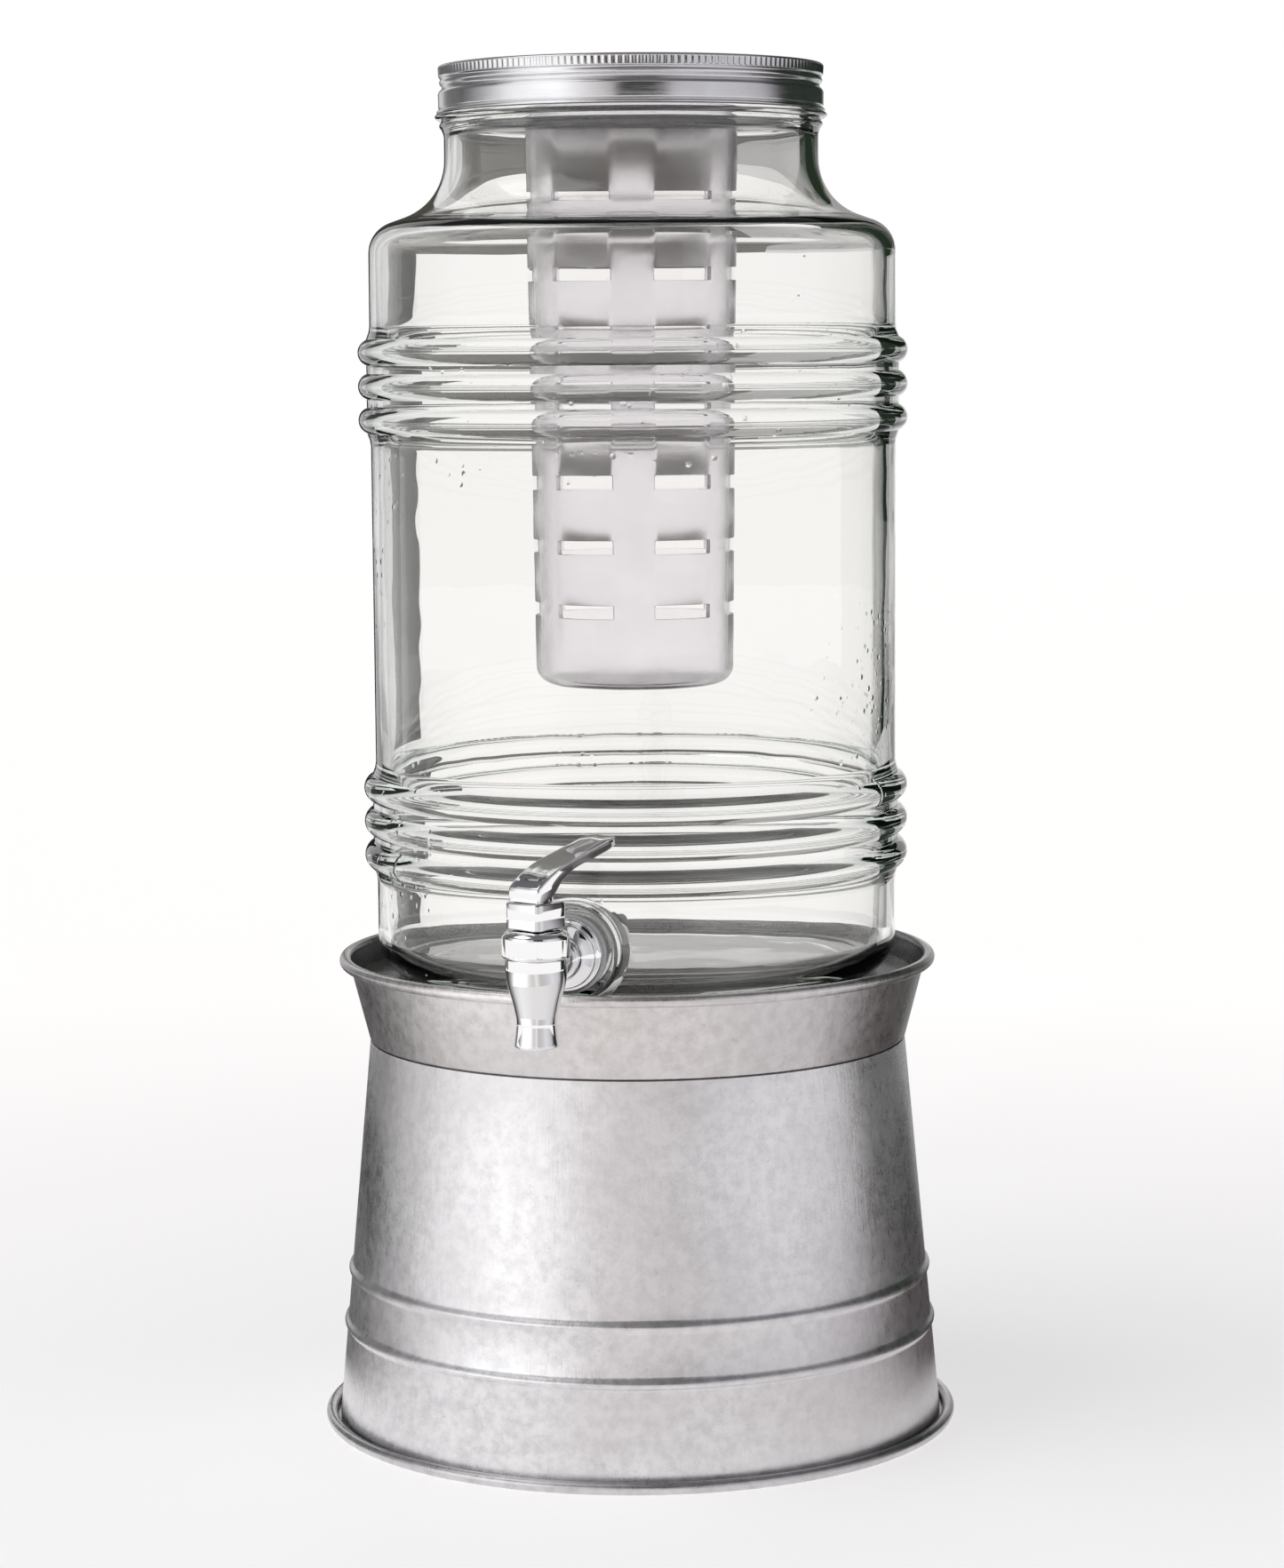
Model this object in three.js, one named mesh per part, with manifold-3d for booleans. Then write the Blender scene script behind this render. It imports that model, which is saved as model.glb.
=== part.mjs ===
// A countertop beverage dispenser: a ribbed glass jar with a screw lid, a slotted infuser and a
// lever spigot, standing in the flared collar of a conical sheet-metal stand.
// Millimetres, +Z up. The origin is the centre of the underside of the stand's base tray, and the
// spigot points towards -Y.
import * as THREE from "three";
import { mergeVertices } from "three/addons/utils/BufferGeometryUtils.js";
import Module from "manifold-3d";

const wasm = await Module();
wasm.setup();

// ---------------------------------------------------------------- driving dimensions

const FLATS = 28; // flats round a large turned piece
const SMALL_FLATS = 16; // flats round a spigot piece
const INFUSER_FLATS = 24;
const GAP = 0.3; // clearance between pieces that rest on each other

// Glass jar
const JAR_RADIUS = 98.4; // outside of the body under the shoulder
const JAR_TAPER = 1; // how much narrower the body is above the foot
const JAR_HEIGHT = 334.5; // underside to mouth
const JAR_WALL = 4.5;
const JAR_FLOOR = 7;
const FOOT_CORNER = 15;
const SHOULDER_CORNER = 12;
const SHOULDER_SLOPE_DEG = 19.6;
const NECK_RADIUS = 69.8;
const NECK_FILLET = 22.7;
const NECK_DEPTH = 29.2; // mouth to the start of the neck's fillet
const NECK_RING_RISE = 3.5;
const RIB_RISE = 4.6;
const RIB_VALLEY = 1.6;
const RIB_PITCH = 12.6;
const UPPER_RIBS_DEPTH = 113.2; // mouth to the middle rib of the upper three
const LOWER_RIBS_RISE = 58.6; // underside to the middle rib of the lower three
const FINISH_STEP = 1.5; // how much narrower the threaded mouth is than the neck
const THREAD_RISE = 0.45;
const THREAD_DEPTH = 5.3; // mouth to the crest of the thread

// Sheet-metal stand
const SHEET = 0.9; // sheet thickness
const RIM_WIRE = 1; // radius of the wire inside a rolled rim
const WAIST_MARGIN = 2.4; // how much wider the stand's waist is than the jar
const WAIST_HEIGHT = 144;
const CONE_SPREAD = 12.9; // how much wider the cone is at the tray than at the waist
const TRAY_MARGIN = 5.3; // outside of the cone to the outside of the tray's rim
const BEAD_HEIGHTS = [37.5, 57.5];
const BEAD_WIDTH = 5.6;
const BEAD_RISE = 0.9;
const CONE_FLANGE = 7; // width of the cone's turned-in foot
const COLLAR_LAP = 11; // how far the collar reaches down inside the cone
const COLLAR_HEIGHT = 30; // waist to the centre of the rolled rim
const COLLAR_SLOPE = 0.262; // outward run of the collar wall per millimetre of height
const JAR_SEAT = 24; // waist to the underside of the jar
const FLOOR_SKIRT = 9; // depth of the jar floor's turned-down edge
const SEAM_WIDTH = 8;
const SEAM_RISE = 0.7;

// Lid
const LID_MARGIN = 3.6; // outside of the jar's mouth to the outside of the lid
const LID_SHEET = 0.8;
const LID_GROOVE = 1.8; // depth of the groove round the lid
const LID_HEIGHT = 17.8;
const LID_BAND = 4; // height of the knurled band
const GASKET_THICKNESS = 1.8;
const HOLDER_PLATE = 2;
const HOLDER_WALL = 2.6;
const HOLDER_SOCKET_DEPTH = 16;

// Infuser
const INFUSER_TOP_RADIUS = 37.7;
const INFUSER_TAPER = 2.7; // how much narrower its base is
const INFUSER_WALL = 2;
const INFUSER_LENGTH = 224.9;
const INFUSER_CORNER = 5;
const SLOT_ROWS = 7;
const SLOTS_PER_ROW = 6;
const FIRST_SLOT_ROW = 28; // above the infuser's base
const SLOT_ROW_PITCH = 24.7;
const SLOT_HEIGHT = 5.3;
const SLOT_ANGLE_DEG = 36.4;
const INFUSER_TURN_DEG = 13.5;

// Spigot, with heights measured from the axis of its shank
const SPIGOT_RISE = 22; // underside of the jar to the shank's axis
const BOSS_RADIUS = 17.4;
const BOSS_RISE = 5.8; // how far the boss stands out of the jar's wall
const PAD_RADIUS = 14;
const PAD_RISE = 2.4; // how far the pad stands in from the jar's wall
const SPOUT_PROJECTION = 44.8; // boss face to spout axis
const SHANK_RADIUS = 7.9;
const WATER_WAY = 4.2; // radius of the bore through the shank
const WATER_WAY_DROP = 1; // how far the bore lies under the shank's axis
const OUTER_WASHER = 2.5; // thickness
const INNER_WASHER = 2;
const FLANGE_RADIUS = 13.2;
const FLANGE_THICKNESS = 3;
const STEP_RADIUS = 11.6;
const STEP_THICKNESS = 2.6;
const ARM_RADII = [5.3, 7.3]; // at the spout's axis and at the flange
const ARM_DROP = 1.8; // how far the arm falls from the flange to the spout's axis
const NUT_WALL = 1.8; // thinnest wall, at the middle of a flat
const NUT_THICKNESS = 6;
const SHANK_END = 2.6; // shank length past the nut
const BODY_RADIUS = 10.7;
const BODY_SHOULDER = 5;
const BODY_TAPER_RADIUS = 27; // radius of the curve down to the waist
const BODY_WAIST = -16;
const BODY_WAIST_RADIUS = 6.8;
const SPOUT_RADIUS = 7.8;
const SPOUT_END = -26;
const SPOUT_BORE = 4.6;
const SEAT = -6.5;
const CHAMBER_RADIUS = 7.9;
const BODY_NECK_RADIUS = 9.5;
const BODY_NECK_TOP = 10;
const BONNET_RADIUS = 11.75;
const BONNET_ROOF = 2.1; // thickness over the spring
const BONNET_GROOVES = 8;
const SEAL_THICKNESS = 1;
const STEM_RADIUS = 2.5;
const STEM_COLLAR_RADIUS = 5.6;
const STEM_COLLAR = 1.2; // thickness
const EYE_OVER_PIN = 2.2;
const SPRING_POCKET_RADIUS = 6;
const SPRING_POCKET = 1.2; // depth of the pocket over the seal
const SPRING_RADIUS = 4.4;
const SPRING_WIRE = 0.5;
const SPRING_TURNS = 4;
const CUP_RADIUS = 6.6;
const CUP_HEIGHT = 3.5;
const CUP_FLOOR = 1.4;

// Lever and its hub
const LEVER_TURN_DEG = -26.5; // where the lever stands, turned from straight back
const HUB_WIDTH = 16;
const HUB_CORNER = 3;
const HUB_HEIGHT = 9.3;
const HUB_FLOOR = 3;
const HUB_FRONT_WALL = 1.8;
const FOOT_WIDTH = 9.8; // the lever's foot between the hub's cheeks
const PIN_RISE = 4.8; // underside of the hub to the pin's axis
const PIN_RADIUS = 1.2;
const LEVER_WIDTH = 14;
const LEVER_REACH = 38;
const LEVER_TIP_CORNER = 6;
const LEVER_FRONT = 6.6;

// ---------------------------------------------------------------- worked-out places

const JAR_BASE_HEIGHT = WAIST_HEIGHT + JAR_SEAT;
const JAR_FOOT_RADIUS = JAR_RADIUS - JAR_TAPER;
const MOUTH_HEIGHT = JAR_BASE_HEIGHT + JAR_HEIGHT;
const NECK_FOOT_HEIGHT = MOUTH_HEIGHT - NECK_DEPTH;
const UPPER_RIBS_HEIGHT = MOUTH_HEIGHT - UPPER_RIBS_DEPTH;
const LOWER_RIBS_HEIGHT = JAR_BASE_HEIGHT + LOWER_RIBS_RISE;
const FINISH_RADIUS = NECK_RADIUS - FINISH_STEP;
const JAR_INNER_FLOOR = JAR_BASE_HEIGHT + JAR_FLOOR;

const WAIST_RADIUS = JAR_RADIUS + WAIST_MARGIN;
const CONE_FOOT_RADIUS = WAIST_RADIUS + CONE_SPREAD;
const COLLAR_RIM_HEIGHT = WAIST_HEIGHT + COLLAR_HEIGHT;
const STAND_FLOOR_TOP = JAR_BASE_HEIGHT - GAP;
const RIM_HEM = RIM_WIRE + GAP + SHEET; // outside radius of a rolled rim
const TRAY_WIRE_RADIUS = CONE_FOOT_RADIUS + TRAY_MARGIN - RIM_HEM;

const GASKET_BASE = MOUTH_HEIGHT + GAP;
const HOLDER_BASE = GASKET_BASE + GASKET_THICKNESS + GAP;
const LID_UNDERSIDE = HOLDER_BASE + HOLDER_PLATE + GAP;
const LID_TOP = LID_UNDERSIDE + LID_SHEET;
const LID_LOW_EDGE = LID_TOP - LID_HEIGHT;
const LID_RADIUS = FINISH_RADIUS + LID_MARGIN;
const LID_GROOVE_RADIUS = LID_RADIUS - LID_GROOVE;
const SOCKET_RADIUS = INFUSER_TOP_RADIUS + 2 * GAP;
const SOCKET_FOOT = HOLDER_BASE - HOLDER_SOCKET_DEPTH;
const INFUSER_TOP = HOLDER_BASE - 2;
const INFUSER_BASE_HEIGHT = INFUSER_TOP - INFUSER_LENGTH;
const INFUSER_BASE_RADIUS = INFUSER_TOP_RADIUS - INFUSER_TAPER;

const SPIGOT_HEIGHT = JAR_BASE_HEIGHT + SPIGOT_RISE;
const BOSS_FACE = JAR_FOOT_RADIUS + BOSS_RISE;
const PAD_FACE = JAR_FOOT_RADIUS - JAR_WALL - PAD_RISE;
const SPOUT_REACH = BOSS_FACE + SPOUT_PROJECTION;
const WASHER_FACE = BOSS_FACE + GAP + OUTER_WASHER;
const FLANGE_FACE = WASHER_FACE + GAP;
const STEP_FACE = FLANGE_FACE + FLANGE_THICKNESS;
const NUT_FACE = PAD_FACE - GAP - INNER_WASHER - GAP;
const SHANK_TIP = NUT_FACE - NUT_THICKNESS - SHANK_END;
const SHANK_HOLE = SHANK_RADIUS + GAP;
const CUP_BASE = SEAT + GAP;
const STEM_COLLAR_BASE = CUP_BASE + CUP_HEIGHT + GAP;
const STEM_COLLAR_TOP = STEM_COLLAR_BASE + STEM_COLLAR;
const SEAL_TOP = BODY_NECK_TOP + GAP + SEAL_THICKNESS;
const BONNET_STEP = SEAL_TOP + GAP;
const SPRING_CEILING = BONNET_STEP + SPRING_POCKET;
const BONNET_TOP = SPRING_CEILING + BONNET_ROOF;
const HUB_BASE = BONNET_TOP + GAP;
const HUB_TOP = HUB_BASE + HUB_HEIGHT;
const PIN_HEIGHT = HUB_BASE + PIN_RISE;
const CHEEK_GAP = FOOT_WIDTH / 2 + GAP + 0.1; // half width of the hub's slot
const LEVER_BASE = HUB_TOP + GAP;

// Outside radius of the collar's wall, and of the cone's, at a height.
function collarRadius(height) {
  return WAIST_RADIUS + COLLAR_SLOPE * (height - WAIST_HEIGHT);
}

function coneRadius(height) {
  return CONE_FOOT_RADIUS - (CONE_SPREAD * height) / WAIST_HEIGHT;
}

const COLLAR_WIRE_RADIUS = collarRadius(COLLAR_RIM_HEIGHT) - SHEET + RIM_HEM;

// ---------------------------------------------------------------- shape helpers

// Points [r, z] on an arc about (r, z), both ends included.
function arc(r, z, radius, fromDeg, toDeg, steps) {
  return Array.from({ length: steps + 1 }, (_, i) => {
    const angle = THREE.MathUtils.degToRad(fromDeg + ((toDeg - fromDeg) * i) / steps);
    return [r + radius * Math.cos(angle), z + radius * Math.sin(angle)];
  });
}

// A closed outline of [r, z] points turned about +Z. An outline off the axis is closed here.
function turned(outline, flats = FLATS) {
  const points = outline.map(([r, z]) => new THREE.Vector2(r, z));
  if (THREE.ShapeUtils.area(points) < 0) points.reverse();
  if (Math.max(points[0].x, points.at(-1).x) > 0) points.push(points[0].clone());
  return new THREE.LatheGeometry(points, flats).rotateX(Math.PI / 2);
}

// The same outline turned about -Y: z in the outline is the distance towards -Y.
function turnedAlongY(outline, flats = SMALL_FLATS) {
  return turned(outline, flats).rotateX(Math.PI / 2);
}

function rod(radius, low, high, flats = SMALL_FLATS) {
  return turned([[0, low], [radius, low], [radius, high], [0, high]], flats);
}

function ring(inner, outer, low, high, flats = FLATS) {
  return turned([[inner, low], [outer, low], [outer, high], [inner, high]], flats);
}

function block(low, high) {
  const size = high.map((value, i) => value - low[i]);
  const centre = high.map((value, i) => (value + low[i]) / 2);
  return new THREE.BoxGeometry(...size).translate(...centre);
}

// A flat outline of [x, y] points pushed up from low to high.
function raised(outline, low, high) {
  const shape = new THREE.Shape(outline.map(([x, y]) => new THREE.Vector2(x, y)));
  const depth = high - low;
  return new THREE.ExtrudeGeometry(shape, { depth, bevelEnabled: false }).translate(0, 0, low);
}

// Corners of a rectangle, each rounded by an arc; corners run anticlockwise from +X +Y.
function roundedRectangle(left, right, front, back, corner) {
  return [
    ...arc(right - corner, back - corner, corner, 0, 90, 3),
    ...arc(left + corner, back - corner, corner, 90, 180, 3),
    ...arc(left + corner, front + corner, corner, 180, 270, 3),
    ...arc(right - corner, front + corner, corner, 270, 360, 3),
  ];
}

function solidOf(geometry) {
  const bare = geometry.clone();
  bare.deleteAttribute("normal");
  bare.deleteAttribute("uv");
  const merged = mergeVertices(bare, 1e-4);
  return new wasm.Manifold(
    new wasm.Mesh({
      numProp: 3,
      vertProperties: merged.attributes.position.array,
      triVerts: new Uint32Array(merged.index.array),
    }),
  );
}

function geometryOf(solid) {
  const mesh = solid.getMesh();
  const geometry = new THREE.BufferGeometry();
  geometry.setAttribute("position", new THREE.BufferAttribute(mesh.vertProperties, 3));
  geometry.setIndex(new THREE.BufferAttribute(mesh.triVerts, 1));
  geometry.computeVertexNormals();
  return geometry;
}

// The base with every geometry in added joined to it, then every geometry in removed cut from it.
function built(base, added, removed) {
  let solid = solidOf(base);
  for (const geometry of added) solid = solid.add(solidOf(geometry));
  for (const geometry of removed) solid = solid.subtract(solidOf(geometry));
  return geometryOf(solid);
}

// ---------------------------------------------------------------- materials

const finish = (color, roughness, metalness) =>
  new THREE.MeshStandardMaterial({ color, roughness, metalness });
const galvanised = () => finish(0xb4b6b8, 0.42, 0.9);
const clearPlastic = () =>
  new THREE.MeshStandardMaterial({
    color: 0xc9c6d2, roughness: 0.25, metalness: 0, transparent: true, opacity: 0.5,
  });
const glass = () =>
  new THREE.MeshStandardMaterial({
    color: 0xe6efec, roughness: 0.04, metalness: 0, transparent: true, opacity: 0.3,
  });
const tinned = () => finish(0xc3c3c8, 0.3, 0.95);
const chrome = () => finish(0xe4e4e6, 0.05, 1);
const silicone = () => finish(0xb9bbbc, 0.7, 0);
const steelWire = () => finish(0x8e9092, 0.4, 0.9);
const whitePlastic = () => finish(0xdcdad4, 0.5, 0);

// ---------------------------------------------------------------- stand

// A rolled rim round a wire: an outline strip from startDeg to endDeg about the wire's centre.
function rolledRim(r, z, startDeg, endDeg) {
  const steps = 6;
  return {
    outside: arc(r, z, RIM_HEM, startDeg, endDeg, steps),
    inside: arc(r, z, RIM_HEM - SHEET, endDeg, startDeg, steps),
  };
}

function baseTray() {
  const rim = rolledRim(TRAY_WIRE_RADIUS, RIM_HEM, -90, 165);
  return turned([[0, 0], ...rim.outside, ...rim.inside, [0, SHEET]]);
}

function rimWire(r, z) {
  return turned(arc(r, z, RIM_WIRE, 0, 300, 5));
}

// A bead pressed out of the cone wall: four outline points from its top edge down.
function bead(height) {
  const half = BEAD_WIDTH / 2;
  return [
    [coneRadius(height + half), height + half],
    [coneRadius(height + half / 2) + BEAD_RISE, height + half / 2],
    [coneRadius(height - half / 2) + BEAD_RISE, height - half / 2],
    [coneRadius(height - half), height - half],
  ];
}

function standCone() {
  const foot = SHEET + GAP;
  const footRadius = coneRadius(foot);
  const beads = [...BEAD_HEIGHTS].reverse().flatMap(bead);
  const wall = turned([
    [WAIST_RADIUS, WAIST_HEIGHT],
    ...beads,
    [footRadius, foot],
    [footRadius - CONE_FLANGE, foot],
    [footRadius - CONE_FLANGE, foot + SHEET],
    [footRadius - SHEET - 0.1, foot + SHEET],
    [WAIST_RADIUS - SHEET, WAIST_HEIGHT],
  ]);
  const seamLow = foot + 6;
  const seamHigh = WAIST_HEIGHT - 3;
  const lean = Math.atan2(
    coneRadius(seamLow) - coneRadius(seamHigh),
    seamHigh - seamLow,
  );
  const seamMiddle = (seamLow + seamHigh) / 2;
  const seam = new THREE.BoxGeometry(SEAM_WIDTH, 2 * SEAM_RISE, seamHigh - seamLow)
    .rotateX(lean)
    .translate(0, coneRadius(seamMiddle), seamMiddle);
  return built(wall, [seam], []);
}

// The flared wall rolls outwards over its wire; its lower edge tucks down inside the cone.
function standCollar() {
  const rim = rolledRim(COLLAR_WIRE_RADIUS, COLLAR_RIM_HEIGHT, 180, -130);
  const lapRadius = (height) => coneRadius(height) - SHEET - GAP;
  const lapFoot = WAIST_HEIGHT - COLLAR_LAP;
  const wallFoot = WAIST_HEIGHT + GAP;
  const wallTop = COLLAR_RIM_HEIGHT - 2 * RIM_HEM;
  return turned([
    ...rim.outside,
    ...rim.inside,
    [collarRadius(wallTop), wallTop],
    [collarRadius(wallFoot), wallFoot],
    [lapRadius(WAIST_HEIGHT), wallFoot],
    [lapRadius(lapFoot), lapFoot],
    [lapRadius(lapFoot) - SHEET, lapFoot],
    [lapRadius(WAIST_HEIGHT) - SHEET, wallFoot + SHEET],
    [collarRadius(wallFoot + SHEET) - SHEET, wallFoot + SHEET],
    [collarRadius(wallTop) - SHEET, wallTop],
  ]);
}

function standFloor() {
  const edge = (height) => collarRadius(height) - SHEET - GAP - 0.1;
  const low = STAND_FLOOR_TOP - FLOOR_SKIRT;
  const under = STAND_FLOOR_TOP - SHEET;
  return turned([
    [0, STAND_FLOOR_TOP],
    [edge(STAND_FLOOR_TOP), STAND_FLOOR_TOP],
    [edge(low), low],
    [edge(low) - SHEET, low],
    [edge(under) - SHEET, under],
    [0, under],
  ]);
}

// ---------------------------------------------------------------- glass jar

function bodyRadius(height) {
  const foot = JAR_BASE_HEIGHT + FOOT_CORNER;
  const share = (height - foot) / (UPPER_RIBS_HEIGHT + 2 * RIB_PITCH - foot);
  return JAR_FOOT_RADIUS + (JAR_RADIUS - JAR_FOOT_RADIUS) * Math.min(share, 1);
}

// Three round ribs, from the top down.
function ribs(middle) {
  const points = [];
  for (const centre of [middle + RIB_PITCH, middle, middle - RIB_PITCH]) {
    const base = bodyRadius(centre);
    points.push([base + RIB_VALLEY, centre + RIB_PITCH / 2]);
    points.push([base + RIB_RISE, centre + RIB_PITCH / 6]);
    points.push([base + RIB_RISE, centre - RIB_PITCH / 6]);
  }
  const end = middle - 1.5 * RIB_PITCH;
  const start = middle + 1.5 * RIB_PITCH;
  points[0] = [bodyRadius(start), start + 1];
  points.push([bodyRadius(end), end - 1]);
  return points;
}

// Neck fillet, sloping shoulder and shoulder corner, from the top down, moved in by inset.
function shoulder(inset) {
  const turn = 90 - SHOULDER_SLOPE_DEG;
  const slope = Math.tan(THREE.MathUtils.degToRad(SHOULDER_SLOPE_DEG));
  const angle = THREE.MathUtils.degToRad(turn);
  const filletR = NECK_RADIUS + NECK_FILLET;
  const filletEndR = filletR - NECK_FILLET * Math.cos(angle);
  const filletEndZ = NECK_FOOT_HEIGHT - NECK_FILLET * Math.sin(angle);
  const cornerR = JAR_RADIUS - SHOULDER_CORNER;
  const startR = cornerR + SHOULDER_CORNER * Math.cos(angle);
  const startZ = filletEndZ - (startR - filletEndR) * slope;
  const cornerZ = startZ - SHOULDER_CORNER * Math.sin(angle);
  return [
    ...arc(filletR, NECK_FOOT_HEIGHT, NECK_FILLET + inset, 180, 180 + turn, 3),
    ...arc(cornerR, cornerZ, SHOULDER_CORNER - inset, turn, 0, 3),
  ];
}

function jarGlass() {
  const footZ = JAR_BASE_HEIGHT + FOOT_CORNER;
  const innerCorner = FOOT_CORNER - JAR_FLOOR;
  const innerFootRadius = JAR_FOOT_RADIUS - JAR_WALL;
  const ringZ = LID_LOW_EDGE - 1.1;
  const ringRadius = NECK_RADIUS + NECK_RING_RISE;
  const threadZ = MOUTH_HEIGHT - THREAD_DEPTH;
  const outside = [
    [FINISH_RADIUS - 1.4, MOUTH_HEIGHT],
    [FINISH_RADIUS, MOUTH_HEIGHT - 1.2],
    [FINISH_RADIUS, threadZ + 1.4],
    [FINISH_RADIUS + THREAD_RISE, threadZ],
    [FINISH_RADIUS, threadZ - 1.4],
    [FINISH_RADIUS, ringZ + 0.6],
    [ringRadius - 0.6, ringZ + 0.5],
    [ringRadius, ringZ],
    [NECK_RADIUS + 0.9, ringZ - 1.8],
    [NECK_RADIUS + 2, ringZ - 3.4],
    [NECK_RADIUS, ringZ - 5.8],
  ];
  const foot = arc(JAR_FOOT_RADIUS - FOOT_CORNER, footZ, FOOT_CORNER, 0, -90, 3);
  const innerFoot = arc(
    innerFootRadius - innerCorner, JAR_INNER_FLOOR + innerCorner, innerCorner, -90, 0, 3,
  );
  const wall = turned([
    [0, JAR_BASE_HEIGHT + 2],
    [JAR_FOOT_RADIUS - FOOT_CORNER - 8, JAR_BASE_HEIGHT + 1.2],
    ...foot.reverse(),
    ...[
      ...outside,
      ...shoulder(0),
      ...ribs(UPPER_RIBS_HEIGHT),
      ...ribs(LOWER_RIBS_HEIGHT),
    ].reverse(),
    [NECK_RADIUS - JAR_WALL, MOUTH_HEIGHT],
    ...shoulder(JAR_WALL),
    ...innerFoot.reverse(),
    [0, JAR_INNER_FLOOR],
  ]);
  const boss = turnedAlongY([
    [0, BOSS_FACE],
    [BOSS_RADIUS, BOSS_FACE],
    [BOSS_RADIUS + 1.4, JAR_FOOT_RADIUS - JAR_WALL + 0.2],
    [0, JAR_FOOT_RADIUS - JAR_WALL + 0.2],
  ], FLATS).translate(0, 0, SPIGOT_HEIGHT);
  const pad = turnedAlongY([
    [0, PAD_FACE],
    [PAD_RADIUS, PAD_FACE],
    [PAD_RADIUS, BOSS_FACE - 5],
    [0, BOSS_FACE - 5],
  ], FLATS).translate(0, 0, SPIGOT_HEIGHT);
  const hole = turnedAlongY([
    [0, PAD_FACE - 20],
    [SHANK_HOLE, PAD_FACE - 20],
    [SHANK_HOLE, BOSS_FACE + 20],
    [0, BOSS_FACE + 20],
  ]).translate(0, 0, SPIGOT_HEIGHT);
  return built(wall, [boss, pad], [hole]);
}

// ---------------------------------------------------------------- lid and infuser

function lidShell() {
  const r = LID_RADIUS;
  const bandFoot = LID_TOP - LID_BAND;
  const outside = [
    [0, LID_TOP],
    [r - 1.2, LID_TOP],
    [r, LID_TOP - 0.7],
    [r - 0.4, bandFoot],
    [r - 0.9, bandFoot - 0.8],
    [r - 0.5, bandFoot - 2.4],
    [LID_GROOVE_RADIUS, bandFoot - 4.4],
    [r, bandFoot - 6.4],
    [r, LID_LOW_EDGE + 0.8],
    [r - 0.7, LID_LOW_EDGE],
  ];
  const inside = [
    [r - LID_SHEET - 0.7, LID_LOW_EDGE],
    [r - LID_SHEET, LID_LOW_EDGE + 0.8],
    [r - LID_SHEET, bandFoot - 6.4],
    [LID_GROOVE_RADIUS - LID_SHEET, bandFoot - 4.4],
    [r - 0.5 - LID_SHEET, bandFoot - 2.4],
    [r - 0.9 - LID_SHEET, bandFoot - 0.8],
    [r - 0.9 - LID_SHEET, LID_UNDERSIDE],
    [0, LID_UNDERSIDE],
  ];
  return turned([...outside, ...inside]);
}

function lidGasket() {
  return ring(NECK_RADIUS - JAR_WALL + GAP, FINISH_RADIUS - GAP, GASKET_BASE,
    GASKET_BASE + GASKET_THICKNESS);
}

// A plate clamped under the lid with a socket that the infuser screws into.
function infuserHolder() {
  const plateRadius = LID_GROOVE_RADIUS - LID_SHEET - 2 * GAP;
  return turned([
    [0, HOLDER_BASE],
    [SOCKET_RADIUS, HOLDER_BASE],
    [SOCKET_RADIUS, SOCKET_FOOT],
    [SOCKET_RADIUS + HOLDER_WALL, SOCKET_FOOT],
    [SOCKET_RADIUS + HOLDER_WALL, HOLDER_BASE],
    [plateRadius, HOLDER_BASE],
    [plateRadius, HOLDER_BASE + HOLDER_PLATE],
    [0, HOLDER_BASE + HOLDER_PLATE],
  ]);
}

function infuserRadius(height) {
  const share = (height - INFUSER_BASE_HEIGHT) / (SOCKET_FOOT - INFUSER_BASE_HEIGHT);
  return INFUSER_BASE_RADIUS + (INFUSER_TOP_RADIUS - INFUSER_BASE_RADIUS) * share;
}

function infuserTube() {
  const corner = INFUSER_CORNER;
  const base = INFUSER_BASE_HEIGHT;
  const wall = turned([
    [0, base],
    ...arc(INFUSER_BASE_RADIUS - corner, base + corner, corner, -90, 0, 3),
    [infuserRadius(SOCKET_FOOT), SOCKET_FOOT],
    [INFUSER_TOP_RADIUS, INFUSER_TOP],
    [INFUSER_TOP_RADIUS - INFUSER_WALL, INFUSER_TOP],
    [INFUSER_TOP_RADIUS - INFUSER_WALL, SOCKET_FOOT],
    ...arc(INFUSER_BASE_RADIUS - corner, base + corner, corner - INFUSER_WALL, 0, -90, 3),
    [0, base + INFUSER_WALL],
  ], INFUSER_FLATS);
  const slots = [];
  for (let row = 0; row < SLOT_ROWS; row += 1) {
    const height = INFUSER_BASE_HEIGHT + FIRST_SLOT_ROW + SLOT_ROW_PITCH * row;
    const half = infuserRadius(height) * Math.sin(THREE.MathUtils.degToRad(SLOT_ANGLE_DEG / 2));
    for (let pair = 0; pair < SLOTS_PER_ROW / 2; pair += 1) {
      slots.push(
        new THREE.BoxGeometry(4 * INFUSER_TOP_RADIUS, 2 * half, SLOT_HEIGHT)
          .rotateZ((2 * Math.PI * pair) / SLOTS_PER_ROW)
          .translate(0, 0, height),
      );
    }
  }
  return built(wall, [], slots);
}

// ---------------------------------------------------------------- spigot
// Shapes below have the spout's axis at x = y = 0 and the shank's axis at z = 0, and +Y runs back
// to the jar.

const backwards = (distance) => SPOUT_REACH - distance; // from the jar axis to the spout's frame

// Turned about the shank's axis, with z in the outline running from the spout back.
function levelTurned(outline, flats = SMALL_FLATS) {
  return turned(outline, flats).rotateX(-Math.PI / 2);
}

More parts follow.
